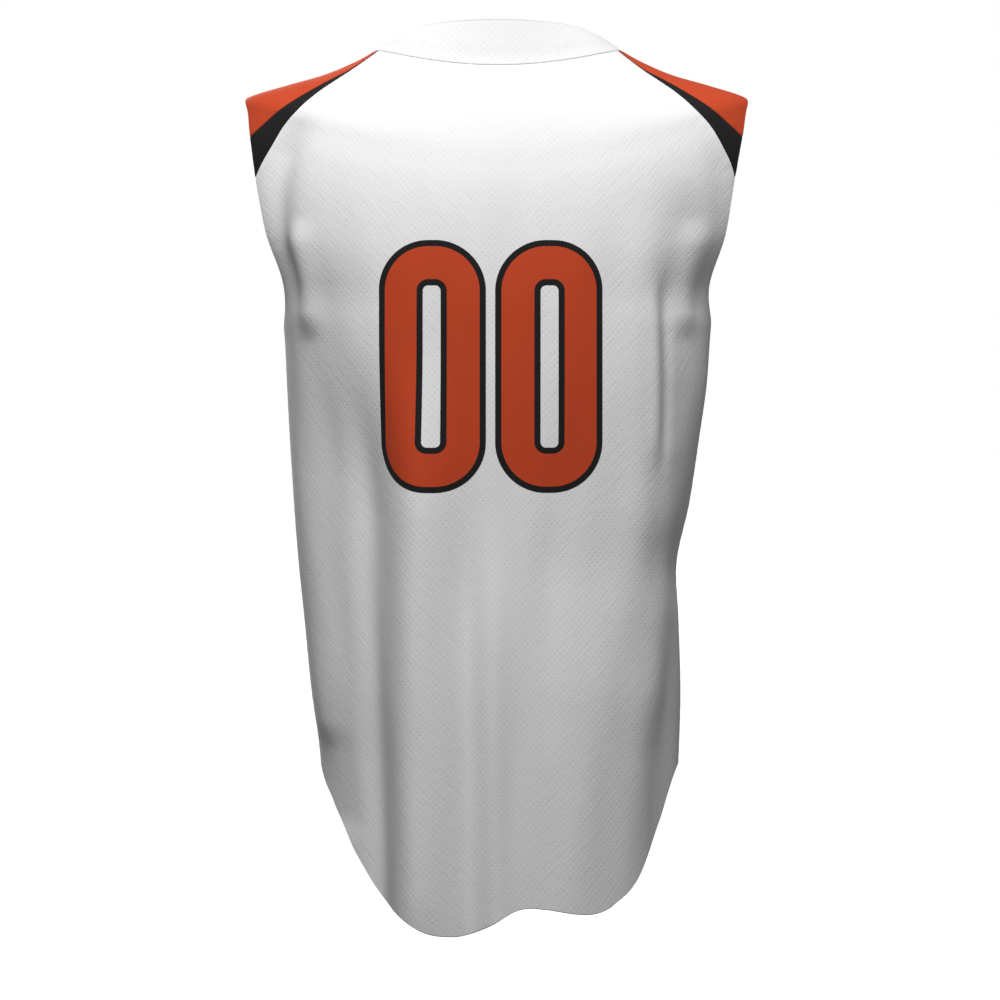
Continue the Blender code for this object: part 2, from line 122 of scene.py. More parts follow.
# The shoulder insets' seams seen from behind: distance from the middle, and the heights there of
# the white panel's edge and of the orange inset's edge. The front's seams mirror them.
Inset = namedtuple("Inset", "x white orange")
INSETS = [
    Inset(0.200, -0.1070, -0.0765),
    Inset(0.185, -0.0810, -0.0640),
    Inset(0.170, -0.0645, -0.0535),
    Inset(0.155, -0.0505, -0.0440),
    Inset(0.140, -0.0390, -0.0350),
    Inset(0.125, -0.0280, -0.0265),
]
RIGHT_SHARE = 0.986      # of those distances, on the wearer's right
ARMHOLE_SEAM = {"white": -0.1220, "orange": -0.0868}     # heights at which they reach the armhole
NECK_SEAM = {"white": radians(78), "orange": radians(79.4),      # turns at which they reach
             "front white": radians(106), "front orange": radians(104.6)}  # the neck

# Folds. turn_top and turn_low are the angles (in degrees) where the fold starts and ends, top and
# low its heights; width is its half-width along the cloth and rise how far it stands out.
Fold = namedtuple("Fold", "turn_top turn_low top low width rise")
FOLDS = [
    Fold(48, 50, -0.26, -0.88, 0.020, -0.0140),      # long trough left of the middle back
    Fold(30, 32, -0.26, -0.88, 0.023, 0.0145),       # the ridge beside it
    Fold(61, 61, -0.20, -0.92, 0.034, -0.0140),      # set-back cloth between it and the side
    Fold(14, 10, -0.36, -0.92, 0.013, -0.0070),      # shallow trough near the middle
    Fold(3, 0, -0.40, -0.92, 0.013, 0.0060),         # and its ridge
    Fold(-19, -21, -0.40, -0.62, 0.010, -0.0012),    # short crease right of it
    Fold(-31, -30, -0.44, -0.95, 0.026, 0.0035),     # low ridge
    Fold(-74, -62, -0.46, -1.00, 0.030, -0.0080),    # hollow above the right hem corner
    Fold(-60, -62, -0.36, -0.62, 0.026, 0.0030),     # bulge over it
    Fold(-64, -66, -0.155, -0.265, 0.014, 0.0035),   # ridge under the right armhole
    Fold(-62, -65, -0.12, -0.36, 0.026, -0.0045),    # set-back cloth under the right armhole
    Fold(-66, -82, -0.30, -0.50, 0.026, -0.0015),    # its end, towards the side
    Fold(-57, -60, -0.20, -0.38, 0.007, -0.0025),    # sharp crease along it
    Fold(-53, -56, -0.20, -0.38, 0.007, 0.0020),     # and the sharp ridge beside the crease
    Fold(-50, -52, -0.14, -0.54, 0.018, 0.0030),     # soft ridge beside them
    Fold(-70, -73, -0.08, -0.25, 0.011, -0.0015),    # valley inside the right armhole's edge
    Fold(68, 71, -0.06, -0.24, 0.013, -0.0075),      # valley inside the left armhole's edge
    Fold(64, 66, -0.155, -0.265, 0.012, 0.0045),     # ridge under it, towards the underarm
    Fold(77, 70, -0.585, -0.690, 0.025, -0.0036),    # hollow at the left hem corner
    Fold(118, 126, -0.26, -0.66, 0.024, -0.0090),    # left front, down from the underarm
    Fold(140, 143, -0.40, -0.95, 0.024, 0.0070),     # and the ridge beside it
    Fold(158, 155, -0.46, -0.92, 0.018, -0.0040),    # trough beside the placket
    Fold(104, 113, -0.19, -0.36, 0.013, -0.0035),    # crease under the left armhole
    Fold(-116, -128, -0.26, -0.60, 0.022, -0.0085),  # right front, down from the underarm
    Fold(-142, -144, -0.44, -0.95, 0.026, 0.0065),   # and the ridge beside it
    Fold(-158, -163, -0.50, -0.92, 0.018, -0.0035),  # trough beside the front edge
    Fold(-103, -112, -0.19, -0.34, 0.013, -0.0035),  # crease under the right armhole
]
FADE = 0.25              # share of a fold's length over which each end dies out

# Softer unevenness of the cloth: waves counted round the body, their length down the body, their
# phase and how far they stand out.
Wave = namedtuple("Wave", "count length phase rise")
WAVES = [
    Wave(7, 0.55, 0.4, 0.00060),
    Wave(12, -0.38, 2.1, 0.00040),
    Wave(19, 0.24, 4.4, 0.00022),
    Wave(31, -0.16, 1.3, 0.00010),
]
WAVES_FADE = (-0.06, -0.20)  # heights between which the waves grow to their full size
NORMAL_STEP = 0.002      # of turn and of level, either side of a place


def smooth_table(rows, at):
    """Reads columns of numbers at fractional rows, with a smooth curve through them."""
    table = np.asarray(rows, float)
    last = len(table) - 1
    at = np.clip(np.asarray(at, float), 0, last)
    row = np.minimum(at.astype(int), last - 1)
    t = (at - row)[..., None]
    here, there = table[row], table[row + 1]
    slope_here = (there - table[np.maximum(row - 1, 0)]) / 2
    slope_there = (table[np.minimum(row + 2, last)] - here) / 2
    ease = t * t * (3 - 2 * t)
    return here + ease * (there - here) + t * (1 - t) ** 2 * slope_here - t * t * (1 - t) * slope_there


def section_at(level):
    """The section at these levels, between the rows of the table."""
    return Section(*np.moveaxis(smooth_table(SECTIONS, level), -1, 0))


def height(section, depth_share, back_side):
    """Height on a section where the cloth has this share of its full reach, back or front."""
    share = depth_share ** 2
    back = section.side - section.back_drop * share
    front = section.side + section.lift * 4 * share * (1 - share) - section.front_drop * share ** 2
    return np.where(back_side, back, front)


def plain_point(turn, level):
    """A point of the surface before its folds."""
    section = section_at(level)
    across, along = np.sin(turn), np.cos(turn)
    back_side = along > 0
    width = np.where(across > 0, section.left, section.right)
    depth = np.where(back_side, section.back, section.front)
    power = section.square
    reach = (np.abs(across / width) ** power + np.abs(along / depth) ** power) ** (-1 / power)
    share = np.abs(reach * along) / depth
    return np.stack([reach * across, reach * along, height(section, share, back_side)], -1)


def smooth_step(low, high, value):
    """0 at low, 1 at high and a smooth rise between them."""
    t = np.clip((value - low) / (high - low), 0, 1)
    return t * t * (3 - 2 * t)


def fold_rise(turn, point):
    """How far the folds push the cloth out at these places."""
    z = point[..., 2]
    radius = np.hypot(point[..., 0], point[..., 1])
    total = np.zeros_like(z)
    for fold in FOLDS:
        run = np.clip((fold.top - z) / (fold.top - fold.low), 0, 1)
        middle = np.radians(fold.turn_top + (fold.turn_low - fold.turn_top) * run)
        away = (turn - middle + pi) % (2 * pi) - pi
        ends = smooth_step(0, FADE, run) * (1 - smooth_step(1 - FADE, 1, run))
        total += fold.rise * ends * np.exp(-(away * radius / fold.width) ** 2)
    return total


def wave_rise(turn, point):
    """How far the cloth's soft unevenness pushes it out at these places."""
    z = point[..., 2]
    total = sum(w.rise * np.sin(w.count * turn + 2 * pi * z / w.length + w.phase) for w in WAVES)
    return total * smooth_step(*WAVES_FADE, z)


def unit(vectors):
    """These vectors at length 1."""
    return vectors / np.maximum(np.linalg.norm(vectors, axis=-1, keepdims=True), 1e-12)


def normals(surface, turn, level):
    """Outward directions, square to a surface."""
    step = NORMAL_STEP
    level = np.clip(level, 4 * step, TOP_LEVEL - 4 * step)
    around = surface(turn + step, level) - surface(turn - step, level)
    upwards = surface(turn, level + step) - surface(turn, level - step)
    return unit(np.cross(upwards, around))


def cloth_point(turn, level):
    """A point of the cloth's outer face."""
    point = plain_point(turn, level)
    rise = (fold_rise(turn, point) + wave_rise(turn, point)) * jersey().cloth.fold_depth
    return point + normals(plain_point, turn, level) * rise[..., None]


# ---------------------------------------------------------------- places on the surface
# A place is a pair (turn, level).
HALVINGS = 40            # steps of the search for a place
HEM_PASSES = 4           # in which the hem's level settles


def find(z, side, back_side, x=None, y=None):
    """Places at heights z on one side, at the back or the front, whose x or else y is known."""
    z = np.asarray(z, float)
    low, high = np.zeros_like(z), np.full_like(z, NECK_LEVEL)
    for _ in range(HALVINGS):
        level = (low + high) / 2
        section = section_at(level)
        width = section.left if side > 0 else section.right
        depth = section.back if back_side else section.front
        power = section.square
        if x is not None:
            across = np.clip(np.abs(x) / width, 0, 1)
            along = (1 - across ** power) ** (1 / power)
        else:
            along = np.clip(np.abs(y) / depth, 0, 1)
            across = (1 - along ** power) ** (1 / power)
        above = height(section, along, back_side) > z
        low, high = np.where(above, low, level), np.where(above, level, high)
    facing = 1 if back_side else -1
    return np.stack([np.arctan2(side * across * width, facing * along * depth), level], -1)


def armhole(heights, side, back_side):
    """Places on one half of an armhole's edge, which is an ellipse seen from the side."""
    middle, half = (TIP_Z + UNDERARM_Z) / 2, (TIP_Z - UNDERARM_Z) / 2
    reach = ARMHOLE_BACK if back_side else ARMHOLE_FRONT
    share = np.clip((np.asarray(heights) - middle) / half, -1, 1)
    return find(heights, side, back_side, y=reach * np.sqrt(1 - share ** 2))


def armhole_heights(low, high, steps):
    """Heights between two heights of the armhole's edge, at even steps round its ellipse."""
    middle, half = (TIP_Z + UNDERARM_Z) / 2, (TIP_Z - UNDERARM_Z) / 2
    start, end = np.arccos((middle - low) / half), np.arccos((middle - high) / half)
    return middle - half * np.cos(np.linspace(start, end, steps + 1))


def inset_seam(side, back_side, colour):
    """Places along a seam of the shoulder inset, in close steps from the armhole to the neck."""
    corner = armhole([ARMHOLE_SEAM[colour]], side, back_side)[0]
    neck = np.array([side * NECK_SEAM[colour if back_side else "front " + colour], NECK_LEVEL])
    ends = [plain_point(*place) * (side, 1, 1) for place in (corner, neck)]
    share = 1 if side > 0 else RIGHT_SHARE
    knots = [(row.x * share, getattr(row, colour)) for row in INSETS]
    knots = [ends[0][[0, 2]], *knots, ends[1][[0, 2]]]
    x, z = smooth_table(knots, (len(knots) - 1) * edged(SEAM_ROWS, SEAM_LENGTH)).T
    places = find(z, side, back_side, x=x)
    places[0], places[-1] = corner, neck
    return places


def upper_edge(side, back_side):
    """Places along a white panel's edge, from the underarm to the neck."""
    heights = armhole_heights(UNDERARM_Z, ARMHOLE_SEAM["white"], ARM_ROWS)
    edge = armhole(heights, side, back_side)
    edge[0] = side * QUARTER, UNDERARM_LEVEL
    return np.vstack([edge[:-1], inset_seam(side, back_side, "white")])


def hem_level(turn):
    """Level of the hem at these turns."""
    back_side = np.cos(turn) > 0
    x_points, z_points = np.array(HEM_BACK)[::-1].T
    level = np.full_like(turn, HEM_LEVEL)
    for _ in range(HEM_PASSES):
        row = np.interp(cloth_point(turn, level)[..., 0], x_points, np.arange(len(x_points)))
        z_back = smooth_table(z_points[:, None], row)[..., 0]
        share = (np.abs((turn + pi) % (2 * pi) - pi) / QUARTER - 1) * (len(HEM_FRONT) - 1)
        z_front = smooth_table(np.array(HEM_FRONT)[:, None], share)[..., 0]
        z = np.where(back_side, z_back, z_front)
        level = find(z, 1, True, y=0.0)[..., 1]
    return level


def front_turn(x, level, side):
    """Turn at which a front, counted from its own side, reaches the distance x from the middle."""
    section = section_at(level)
    width = section.left if x > 0 else section.right
    along = (1 - (abs(x) / width) ** section.square) ** (1 / section.square)
    turn = np.arctan2(x, -along * section.front)
    return np.where(turn * side < 0, turn + side * 2 * pi, turn)


# ---------------------------------------------------------------- grids of the panels
CLOSE = (0.0, 0.0005, 0.0012, 0.0022)  # distances from a border of its nearest grid lines
BODY_ROWS = 148          # from the hem to the underarm
ARM_ROWS = 44            # along the armhole up to the insets
SEAM_ROWS = 52           # along the insets up to the neck
BACK_COLUMNS = 168
FRONT_COLUMNS = 78
PLACKET_COLUMNS = 14
CRESCENT_COLUMNS = 14
SHOULDER_COLUMNS = 44
BAND_COLUMNS = 260
BAND_ROWS = 14
RIM_STEPS = 400          # even steps along an armhole's rim, between which a grid's lines are read
# Rough sizes of the panels, by which their closer lines are placed.
BODY_LENGTH = 0.45       # from the hem to the underarm
BACK_WIDTH = 0.50
FRONT_WIDTH = 0.25
PLACKET_WIDTH = 0.033
SEAM_LENGTH = 0.150      # of an inset's seam
RIM_LENGTH = 0.040       # of an inset's end at the armhole
BAND_LENGTH = 0.62
BAND_WIDTH = 0.039
BAND_RISE = (160, 172)   # turns between which the band's left end rises over its right end


def edged(steps, length):
    """Shares from 0 to 1 in even steps, with closer lines along both borders."""
    close = np.array(CLOSE) / length
    inner = np.linspace(close[-1], 1 - close[-1], steps + 1)[1:-1]
    return np.concatenate([close, inner, 1 - close[::-1]])


def blend(start, end, share):
    """Grid between two lists of places: a row for each pair, a column for each share."""
    return start[:, None] + (end - start)[:, None] * np.asarray(share)[None, :, None]


def body_grid(upper):
    """Places of a whole panel: rows from the hem to the underarm, then the given upper rows."""
    share = edged(BODY_ROWS, BODY_LENGTH)[:-len(CLOSE), None]
    turn = np.broadcast_to(upper[0, :, 0], (len(share), upper.shape[1]))
    level = hem_level(turn) * (1 - share) + UNDERARM_LEVEL * share
    return np.vstack([np.stack([turn, level], -1), upper])


def back_grid():
    """Places of the back. Its middle has even columns and rows, and the nearer a column is to an
    edge, the more it is drawn along with it."""
    start, end = upper_edge(-1, True), upper_edge(1, True)
    share = edged(BACK_COLUMNS, BACK_WIDTH)
    rows = np.linspace(UNDERARM_LEVEL, NECK_LEVEL, len(start))
    home = np.stack(np.meshgrid(QUARTER * (2 * share - 1), rows), -1)
    pull_start, pull_end = ((1 - share) ** 3)[:, None], (share ** 3)[:, None]
    upper = home + (start[:, None] - home[:, :1]) * pull_start
    return body_grid(upper + (end[:, None] - home[:, -1:]) * pull_end)


def front_grid(side, edge_x):
    """Places of a front from its side seam to the distance edge_x from the middle."""
    side_edge = upper_edge(side, False)
    middle = side_edge.copy()
    middle[:, 0] = front_turn(edge_x, side_edge[:, 1], side)
    return body_grid(blend(side_edge, middle, edged(FRONT_COLUMNS, FRONT_WIDTH)))


def placket_grid():
    """Places of the placket, which ends just under the neckband."""
    levels = upper_edge(1, False)[:, 1]
    edges = [np.stack([front_turn(x, levels, 1), levels], -1) for x in (PLACKET_LEFT, PLACKET_RIGHT)]
    upper = blend(*edges, edged(PLACKET_COLUMNS, PLACKET_WIDTH))
    upper[..., 1] = np.minimum(upper[..., 1], PLACKET_TOP_LEVEL)
    return body_grid(upper)


def inset_grid(low_seam, high_seam, rim):
    """Places between two seams that run from the armhole's rim to the neck."""
    share = (rim[:, 0] - rim[0, 0]) / (rim[-1, 0] - rim[0, 0])
    turn = blend(low_seam, high_seam, share)[..., 0]
    run = [(NECK_LEVEL - seam[:, 1]) / (NECK_LEVEL - seam[0, 1]) for seam in (low_seam, high_seam)]
    down = run[0][:, None] * (1 - share) + run[1][:, None] * share
    return np.stack([turn, NECK_LEVEL - (NECK_LEVEL - rim[:, 1]) * down], -1)


def rim_heights(low, high, steps):
    """Heights along the armhole's rim, closer near both ends."""
    heights = armhole_heights(low, high, RIM_STEPS)
    return np.interp(edged(steps, RIM_LENGTH), np.linspace(0, 1, len(heights)), heights)


def crescent_grid(side, back_side):
    """Places of a black inset, from its white seam to its orange one."""
    white, orange = (inset_seam(side, back_side, colour) for colour in ("white", "orange"))
    heights = rim_heights(ARMHOLE_SEAM["white"], ARMHOLE_SEAM["orange"], CRESCENT_COLUMNS)
    return inset_grid(white, orange, armhole(heights, side, back_side))


def shoulder_grid(side):
    """Places of an orange inset, from its back seam over the shoulder to its front one."""
    half = SHOULDER_COLUMNS // 2
    heights = rim_heights(ARMHOLE_SEAM["orange"], TIP_Z, half)[:-len(CLOSE) + 1]
    heights = np.append(heights, TIP_Z)
    back_rim, front_rim = (armhole(heights, side, back_side) for back_side in (True, False))
    seams = [inset_seam(side, back_side, "orange") for back_side in (True, False)]
    return inset_grid(*seams, np.vstack([back_rim, front_rim[-2::-1]]))


def band_grid():
    """Places of the neckband, from its right end, under the lap, round the back to its left end."""
    start = front_turn(UNDERLAP, NECK_LEVEL, -1)
    end = front_turn(PLACKET_RIGHT, NECK_LEVEL, 1)
    turn = start + (end - start) * edged(BAND_COLUMNS, BAND_LENGTH)
    level = NECK_LEVEL + (TOP_LEVEL - NECK_LEVEL) * edged(BAND_ROWS, BAND_WIDTH)
    return np.stack(np.meshgrid(turn, level), -1)


# ---------------------------------------------------------------- cloth shells
FAR = 9.0                # distance written where a panel has no such border
SEAM_ROLL = 0.0003       # how far the cloth turns down into a seam
SEAM_ROLL_REACH = 0.0009
PUCKER = 0.00018         # rise of the small puckers along a seam
PUCKER_LENGTH = 0.0115   # of one pucker
PUCKER_SWELL = 0.083     # length over which the puckers grow and die out
PUCKER_START = 0.002     # distances from the seam between which they show most
PUCKER_REACH = 0.009
STEP_WIDTH = 0.0015      # over which a turned hem's second layer ends
RIM_BULGE = 0.35         # how far a rim is rounded out, as a share of the cloth's thickness
EDGE_GAP = 0.00005       # half the room between the rims of two sewn panels
DOUBLED = 1.5            # thickness of the pressed placket and neckband, in layers of cloth
PLACKET_STITCH = 0.0045  # distance of the placket's stitching from its edge
INSET_DEPTH = 0.25       # share of the white knit's relief on the orange and black cloth
CUT_REACH = 1.06 * pi    # turn to each side of a panel's middle that the flat cut's table covers
CUT_TURNS = 425          # and its points round the body and down it
CUT_LEVELS = 337


def border_places(shape):
    """Rows and columns of a grid's border points, once round."""
    rows, columns = shape
    low = [(0, j) for j in range(columns - 1)]
    end = [(i, columns - 1) for i in range(rows - 1)]
    high = [(rows - 1, j) for j in range(columns - 1, 0, -1)]
    start = [(i, 0) for i in range(rows - 1, 0, -1)]
    return np.array(low + end + high + start)


def run_along(path):
    """Length along a path from its first point to each point."""
    return np.concatenate([[0], np.cumsum(np.linalg.norm(np.diff(path, axis=0), axis=1))])


def distance_to(points, border, chosen):
    """Distance of each point to the chosen border points, and how far along the border that is."""
    along = run_along(border)
    if not chosen.any():
        return np.full(len(points), FAR), np.zeros(len(points))
    tree = KDTree(int(chosen.sum()))
    for index in np.flatnonzero(chosen):
        tree.insert(border[index], index)
    tree.balance()
    found = [tree.find(point) for point in points]
    return np.array([f[2] for f in found]), along[[f[1] for f in found]]


def cut_place(turn, level, middle):
    """Where places lie on the flat cut: along the cloth from its middle and up from the underarm."""
    turns = np.linspace(middle - CUT_REACH, middle + CUT_REACH, CUT_TURNS)
    levels = np.linspace(0, TOP_LEVEL, CUT_LEVELS)
    points = plain_point(*np.meshgrid(turns, levels))
    lengths = []
    for axis in (1, 0):
        steps = np.linalg.norm(np.diff(points, axis=axis), axis=-1)
        lengths.append(np.insert(np.cumsum(steps, axis=axis), 0, 0, axis=axis))
    column = (turn - turns[0]) / (turns[1] - turns[0])
    row = level / levels[1]
    underarm = np.full_like(row, UNDERARM_LEVEL / levels[1])
    centre = np.full_like(column, (CUT_TURNS - 1) / 2)
    across = lookup(lengths[0], row, column) - lookup(lengths[0], row, centre)
    return across, lookup(lengths[1], row, column) - lookup(lengths[1], underarm, column)


def lookup(table, row, column):
    """Reads a table of numbers between its rows and columns."""
    i = np.clip(row.astype(int), 0, table.shape[0] - 2)
    j = np.clip(column.astype(int), 0, table.shape[1] - 2)
    u, v = row - i, column - j
    return ((1 - u) * ((1 - v) * table[i, j] + v * table[i, j + 1])
            + u * ((1 - v) * table[i + 1, j] + v * table[i + 1, j + 1]))


def add_piece(name, vertices, faces, materials, attributes, picks=None):
    """A mesh object with vector attributes on its vertices, in its body and smoothly shaded."""
    mesh = bpy.data.meshes.new(name)
    mesh.from_pydata(np.asarray(vertices).tolist(), [], faces)
    for key, values in attributes.items():
        layer = mesh.attributes.new(key, "FLOAT_VECTOR", "POINT")
        layer.data.foreach_set("vector", np.asarray(values, np.float32).ravel())
    for material in materials:
        mesh.materials.append(material)
    if picks is not None:
        mesh.polygons.foreach_set("material_index", picks)
    mesh.shade_smooth()
    mesh.update()
    piece = bpy.data.objects.new(name, mesh)
    bpy.context.scene.collection.objects.link(piece)
    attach(piece, BODY)
    return piece


def seam_relief(to_seam, along_seam):
    """How far the puckers along a seam, and its roll down into it, move the cloth out."""
    waves = np.sin(2 * pi * along_seam / PUCKER_LENGTH) * np.sin(2 * pi * along_seam / PUCKER_SWELL + 1)
    reach = (1 - np.exp(-(to_seam / PUCKER_START) ** 2)) * np.exp(-(to_seam / PUCKER_REACH) ** 2)
    return PUCKER * waves * reach - SEAM_ROLL * np.exp(-(to_seam / SEAM_ROLL_REACH) ** 2)


def away_from_panel(outer, outwards, ring):
    """Directions along the cloth that point out over its border."""
    border = outer[ring[:, 0], ring[:, 1]]
    tangent = unit(np.roll(border, -1, 0) - np.roll(border, 1, 0))
    aside = unit(np.cross(outwards[ring[:, 0], ring[:, 1]], tangent))
    last_row, last_column = outer.shape[0] - 1, outer.shape[1] - 1
    near = outer[np.clip(ring[:, 0], 1, last_row - 1), np.clip(ring[:, 1], 1, last_column - 1)]
    return aside * np.sign(np.sum(aside * (near - border), -1, keepdims=True))


def shell_faces(shape, rim):
    """Faces of a closed shell: its outer grid, the same grid inside, and a rim of two strips that
    meet at the points round the middle of the cloth's edge."""
    size = shape[0] * shape[1]
    index = np.arange(size).reshape(shape)
    corners = [index[:-1, :-1], index[:-1, 1:], index[1:, 1:], index[1:, :-1]]
    quads = np.stack(corners, -1).reshape(-1, 4)
    middle = 2 * size + np.arange(len(rim))
    rim_next, middle_next = np.roll(rim, -1), np.roll(middle, -1)
    upper = np.stack([rim_next, rim, middle, middle_next], -1)
    lower = np.stack([middle_next, middle, rim + size, rim_next + size], -1)
    return np.vstack([quads, quads[:, ::-1] + size, upper, lower])


def add_cloth(node, places, free, material, middle, thickness, lift=0.0, turned=0.0, stitch=-FAR):
    """A thin shell of cloth on a grid of places, standing for a CAD node.

    free marks the border points on an open edge; the others are sewn. middle is the turn from
    which the flat cut is measured. lift is how far the shell stands over the surface. Along an open
    edge the cloth is turned in by `turned`, and `stitch` is its stitching's distance from that edge.
    """
    layer = jersey().cloth.thickness
    turn, level = places[..., 0], places[..., 1]
    outwards = normals(cloth_point, turn, level)
    outer = cloth_point(turn, level) + outwards * np.broadcast_to(lift, turn.shape)[..., None]
    ring = border_places(turn.shape)
    at_ring = ring[:, 0], ring[:, 1]
    points, border = outer.reshape(-1, 3), outer[at_ring]
    to_free, along_free = (v.reshape(turn.shape) for v in distance_to(points, border, free[at_ring]))
    to_seam, along_seam = (v.reshape(turn.shape) for v in distance_to(points, border, ~free[at_ring]))
    across, up = cut_place(turn, level, middle)
    second_layer = (1 - smooth_step(turned, turned + STEP_WIDTH, to_free)) * (turned > 0)
    depth = thickness + layer * second_layer
    aside = away_from_panel(outer, outwards, ring)

    rim = np.ravel_multi_index(at_ring, turn.shape)
    faces = shell_faces(turn.shape, rim)
    a, b, c = points[faces[0, :3]]
    if np.dot(np.cross(b - a, c - b), outwards[0, 0]) < 0:
        faces = faces[:, ::-1]

    outer = outer + outwards * seam_relief(to_seam, along_seam)[..., None]
    inner = outer - outwards * depth[..., None]
    for face in (outer, inner):
        face[at_ring] += aside * (RIM_BULGE * layer + EDGE_GAP)
    edge_middle = (outer + inner)[at_ring] / 2 - aside * RIM_BULGE * layer
    vertices = np.vstack([outer.reshape(-1, 3), inner.reshape(-1, 3), edge_middle])
    size = turn.size
    outside = np.concatenate([np.ones(size), np.zeros(size), np.zeros(len(rim))])
    pick = np.concatenate([np.arange(size), np.arange(size), rim])
    cut = np.stack([across.ravel()[pick], up.ravel()[pick], outside], -1)
    edge = np.stack([along_free.ravel()[pick], to_free.ravel()[pick] - stitch, to_seam.ravel()[pick]], -1)
    piece = add_piece(f"{node}_cloth", vertices, faces.tolist(), [material], {"cut": cut, "edge": edge})
    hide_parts(node)
    return piece


# ---------------------------------------------------------------- materials
class Value:
    """A number that varies over a surface: a socket on which arithmetic adds Math nodes."""

    def __init__(self, nodes, socket):
        self.nodes, self.socket = nodes, socket

    def maths(self, operation, *values):
        return self.nodes.node("ShaderNodeMath", {"operation": operation}, dict(enumerate(values)))

    def __add__(self, other):
        return self.maths("ADD", self, other)

    def __sub__(self, other):
        return self.maths("SUBTRACT", self, other)

    def __rsub__(self, other):
        return self.maths("SUBTRACT", other, self)

    def __mul__(self, other):
        return self.maths("MULTIPLY", self, other)

    def __abs__(self):
        return self.maths("ABSOLUTE", self)

    __radd__, __rmul__ = __add__, __mul__

    def cosine(self):
        return self.maths("COSINE", self)

    def at_least(self, other):
        return self.maths("MAXIMUM", self, other)

    def at_most(self, other):
        return self.maths("MINIMUM", self, other)

    def root(self):
        return self.maths("SQRT", self)


class ShaderNodes:
    """The shader nodes of a material or of the room, all added by one method."""

    def __init__(self, owner):
        owner.use_nodes = True
        self.tree = owner.node_tree

    def node(self, kind, settings=None, sockets=None, output=0):
        """Adds a node: its settings first, then numbers or links for its sockets."""
        made = self.tree.nodes.new(kind)
        for key, value in (settings or {}).items():
            setattr(made, key, value)
        for key, value in (sockets or {}).items():
            self.connect(made.inputs[key], value)
        return Value(self, made.outputs[output])

    def connect(self, socket, value):
        if isinstance(value, Value):
            self.tree.links.new(value.socket, socket)
        else:
            socket.default_value = value


class Paint(ShaderNodes):
    """The nodes of one material, with the Principled shader that it ends in."""

    def __init__(self, name, **constants):
        self.material = bpy.data.materials.new(name)
        super().__init__(self.material)
        self.shader = self.tree.nodes["Principled BSDF"]
        self.finish(**constants)

    def finish(self, **values):
        """Sets numbers on the shader's own sockets, or links them to what varies."""
        for socket, value in values.items():
            self.connect(self.shader.inputs[socket.replace("_", " ")], value)
        return self.material

    def lengths(self, name):
        """The three numbers of a vertex attribute."""
        vector = self.node("ShaderNodeAttribute", {"attribute_name": name}, output="Vector")
        return [self.node("ShaderNodeSeparateXYZ", None, {0: vector}, output=k) for k in range(3)]

    def step(self, low, high, value):
        """0 below low, 1 above high and a smooth rise between them."""
        return self.node("ShaderNodeMapRange", {"interpolation_type": "SMOOTHSTEP"},
                         {"Value": value, "From Min": low, "From Max": high})

    def mix(self, share, first, second):
        """A colour between two others."""
        colours = {0: share, 6: first, 7: second}
        return self.node("ShaderNodeMix", {"data_type": "RGBA"}, colours, output=2)

    def noise(self, x, y, scale, detail=1.0):
        """Soft noise on the flat cut; its scale is about how many patches lie in a metre."""
        place = self.node("ShaderNodeCombineXYZ", None, {0: x, 1: y, 2: 0.0})
        return self.node("ShaderNodeTexNoise", {"noise_dimensions": "2D"},
                         {"Vector": place, "Scale": scale, "Detail": detail})

    def object_noise(self, scale, detail):
        """Soft noise in the piece's own space."""
        place = self.node("ShaderNodeTexCoord", output="Object")
        return self.node("ShaderNodeTexNoise", None, {"Vector": place, "Scale": scale, "Detail": detail})

    def bump(self, relief):
        """A normal from a relief in metres."""
        return self.node("ShaderNodeBump", None, {"Strength": 1.0, "Distance": 1.0, "Height": relief})


def shade(colour, share=1.0):
    """A colour, or with a share below 1 its darker shade, as a colour socket takes it."""
    return (*(part * share for part in colour), 1.0)


def grey(level):
    return (level, level, level, 1.0)


def ripple(value, length):
    """A cosine wave of this length, from -1 to 1."""
    return (value * (2 * pi / length)).cosine()


# The knit. Lengths are on the flat cut.
SHIFTS = (3.1, -5.7, 9.3)  # sideways, which keep three noises of the knit apart
SWAY = 0.0022            # how far the rows of dimples wander
SWAY_SCALE = 90.0
WEAR_SCALE = 120.0       # of the patches with deeper and shallower dimples
WEAR_EDGES = (0.30, 0.72)
LEAST_DIMPLE = 0.3       # share of the dimples' depth that is left in the shallowest patches
DIMPLE_EDGES = (-0.25, 1.0)  # of the lattice's wave, between which a dimple deepens
COURSES = 0.83           # rows of loops for each column of them
DRAG_ACROSS = 170.0      # scale of the drag lines across them, and along them
DRAG_ALONG = 30.0
DRAG_START = (0.004, 0.035)  # distances from the middle between which the drag lines grow
STITCH_SIDES = (0.00018, 0.00042)  # distances from the row between which a stitch ends
STITCH_ENDS = (-0.5, -0.1)  # of the wave that cuts the row into stitches
STITCH_HEIGHT = 0.00022
GROOVE_SIDES = (0.0004, 0.0016)  # distances from the row between which its groove ends
GROOVE_DEPTH = 0.00025
SEAM_SHADE_REACH = 0.0014     # distance from a seam to which the cloth is darker: painted shade where it rolls down into the seam
LIGHT_SHADE, DEEP_SHADE = 0.90, 0.62  # shares of the colour in the dimples (painted shade) and the darker patches, and at the seams (painted shade) and the stitches
DIMPLE_PAINTED_SHADE = 0.30      # how much of its shade each of these takes: painted shade in the dimples and at the seams, a darker tone in the patches and on the stitches
PATCH_SHADE = 0.25
SEAM_PAINTED_SHADE = 0.08
STITCH_SHADE = 0.06
PATCH_SCALE = 9.0
PATCH_LEVEL = 0.35       # noise under which a patch isn't darker
PRINT_HEIGHT = 0.00012   # of the number's ink
PRINT_FILLS = 0.6        # share of the knit's relief that the ink levels out
PRINT_EDGE = 0.0002      # half the width over which the ink's edge blurs
THREAD_TWIST = 0.0006    # length of one turn of the sewing thread's ply
PLY_HEIGHT = 0.00003


